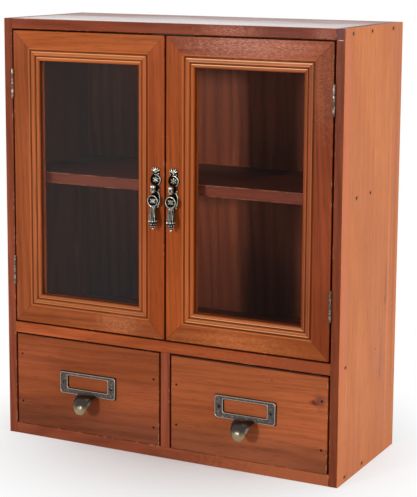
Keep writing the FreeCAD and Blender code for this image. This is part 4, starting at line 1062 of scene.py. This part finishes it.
def label_holders():
    bronze = cast_finish("holder_bronze", (158, 148, 138), (72, 65, 62), 0.3, 0.3,
                         rubbed_and_lit_along=("y", -74.65, -74.2, 0.9))
    # Painted light: the finger scoop is dark at its root at the top and paler towards its tip, as
    # the lamps fall on it.
    scoop_metal = cast_finish("scoop_bronze", (152, 134, 102), (42, 34, 23), 0.1, 0.2,
                              rubbed_and_lit_along=("z", 33, 52, 0.85), grit=0.03, lacquer=0.6,
                              mottle=0.25)
    steel = cast_finish("holder_screw_steel", (116, 110, 98), (50, 45, 38), 0.4, 0.35)
    # Painted shade: the cross recess in each screw head is near black, as a hollow in shade.
    recess = cast_finish("screw_recess_shade", (40, 38, 34), (14, 13, 12), 0.2, 0.6)
    # Painted shade: the outer and window walls of the holder plate are dark, as walls in shade.
    wall_shade = cast_finish("wall_shade_bronze", (44, 40, 34), (16, 14, 12), 0.15, 0.6)
    on_plate, on_scoop, on_shaded_wall = range(3)
    on_head, on_shaded_recess = range(2)
    for side, name in SIDES:
        across, body = side * HOLDER_ACROSS, name + "_drawer"
        place = facing(across, HOLDER_LEVEL)
        shape = bmesh.new()
        # Faces below the raised field are the plate's walls, which take the painted-shade finish.
        add_part(shape, holder_plate(), place,
                 lambda middle: on_shaded_wall if middle.z < 1.2 else on_plate)
        add_part(shape, finger_scoop(), place @ shift(0, -11.1, 0), on_scoop)
        finish_piece(body + "_cast_label_holder", shape, [bronze, scoop_metal, wall_shade], body,
                     [body + "_label_holder"], crease=30)
        shape = bmesh.new()
        for hand in (-1, 1):
            screw = across + hand * HOLDER_SCREW_ACROSS
            add_part(shape, screw_head(2.0, 0.9),
                     facing(screw, HOLDER_LEVEL, 1.6) @ Matrix.Rotation(0.5 + hand, 4, "Z"),
                     lambda middle: (
                         on_shaded_recess if middle.z < 0.45 and middle.xy.length < 1.3 else on_head))
            shank = turned([(0, -7), (0.9, -6), (0.9, 1.2), (0, 1.2)], 12)
            add_part(shape, shank, facing(screw, HOLDER_LEVEL), on_head)
        finish_piece(body + "_cross_screws", shape, [steel, recess], body,
                     [body + "_holder_screws"])


# Studio
def aimed(direction):
    """The turn that points a camera or a lamp along a direction."""
    return direction.to_track_quat("-Z", "Y").to_matrix().to_4x4()


def camera():
    view = bpy.data.cameras.new("photo_view")
    view.lens = 111.21
    view.sensor_width = 36.0
    view.sensor_fit = "AUTO"
    view.shift_y = -58.5 / 497
    view.clip_start = 0.05
    seen = put_in_scene("photo_view", view)
    around, above, roll = (math.radians(angle) for angle in (26.918, 9.095, 0.330))
    ahead = Vector((-math.sin(around) * math.cos(above), math.cos(around) * math.cos(above),
                    -math.sin(above)))
    turn = aimed(ahead) @ Matrix.Rotation(roll, 4, "Z")
    seen.matrix_world = Matrix.Translation((0.6833, -1.3281, 0.4923)) @ turn
    bpy.context.scene.camera = seen


def lamp(name, place, aim, size, power):
    light = bpy.data.lights.new(name, "AREA")
    light.shape = "SQUARE"
    light.size = size
    light.energy = power
    hung = put_in_scene(name, light)
    hung.matrix_world = Matrix.Translation(place) @ aimed(Vector(aim) - Vector(place))


def seen_directly(tree):
    """One for rays that show the picture, straight or off gloss or through glass."""
    rays = tree.nodes.new("ShaderNodeLightPath").outputs
    bent = maths(tree, "MAXIMUM", rays["Is Glossy Ray"], rays["Is Transmission Ray"])
    return maths(tree, "MAXIMUM", rays["Is Camera Ray"], bent)


def pale_floor():
    """A floor that glows white, apart from a soft shadow under the cabinet."""
    shape = bmesh.new()
    bmesh.ops.create_circle(shape, cap_ends=True, segments=64, radius=8.0)
    mesh = bpy.data.meshes.new("pale_floor")
    shape.to_mesh(mesh)
    shape.free()
    floor = put_in_scene("pale_floor", mesh)
    floor.location.z = -0.2 * MM
    material, tree, shader, place = new_material("pale_floor")
    mesh.materials.append(material)
    feed_all(tree, shader, {"Base Color": (0.94, 0.94, 0.94, 1), "Roughness": 0.9})
    away = between(tree, vectors(tree, "LENGTH", place), 0.02, 0.3)
    mix_surface(tree, times(tree, seen_directly(tree), away), shader,
                tree.nodes.new("ShaderNodeEmission"))


def studio():
    scene = bpy.context.scene
    scene.view_settings.view_transform = "Standard"
    world = bpy.data.worlds.new("studio")
    scene.world = world
    world.use_nodes = True
    tree = world.node_tree
    feed(tree, tree.nodes["Background"].inputs["Color"],
         blend(tree, seen_directly(tree), (0.28, 0.28, 0.28, 1), (1, 1, 1, 1)))
    lamp("key_lamp", (-0.713, -2.21, 0.69), (0, -0.07, 0.25), 0.3, 30)
    lamp("side_lamp", (2.2, -0.5, 0.9), (0, 0, 0.2), 1.2, 23.5)
    lamp("top_lamp", (0.1, 0.3, 2.2), (0, 0, 0.2), 1.2, 10)
    pale_floor()


camera()
studio()
paint_case()
paint_drawers()
paint_fittings()
door_frames()
hinges()
pulls()
label_holders()

bpy.context.view_layer.update()
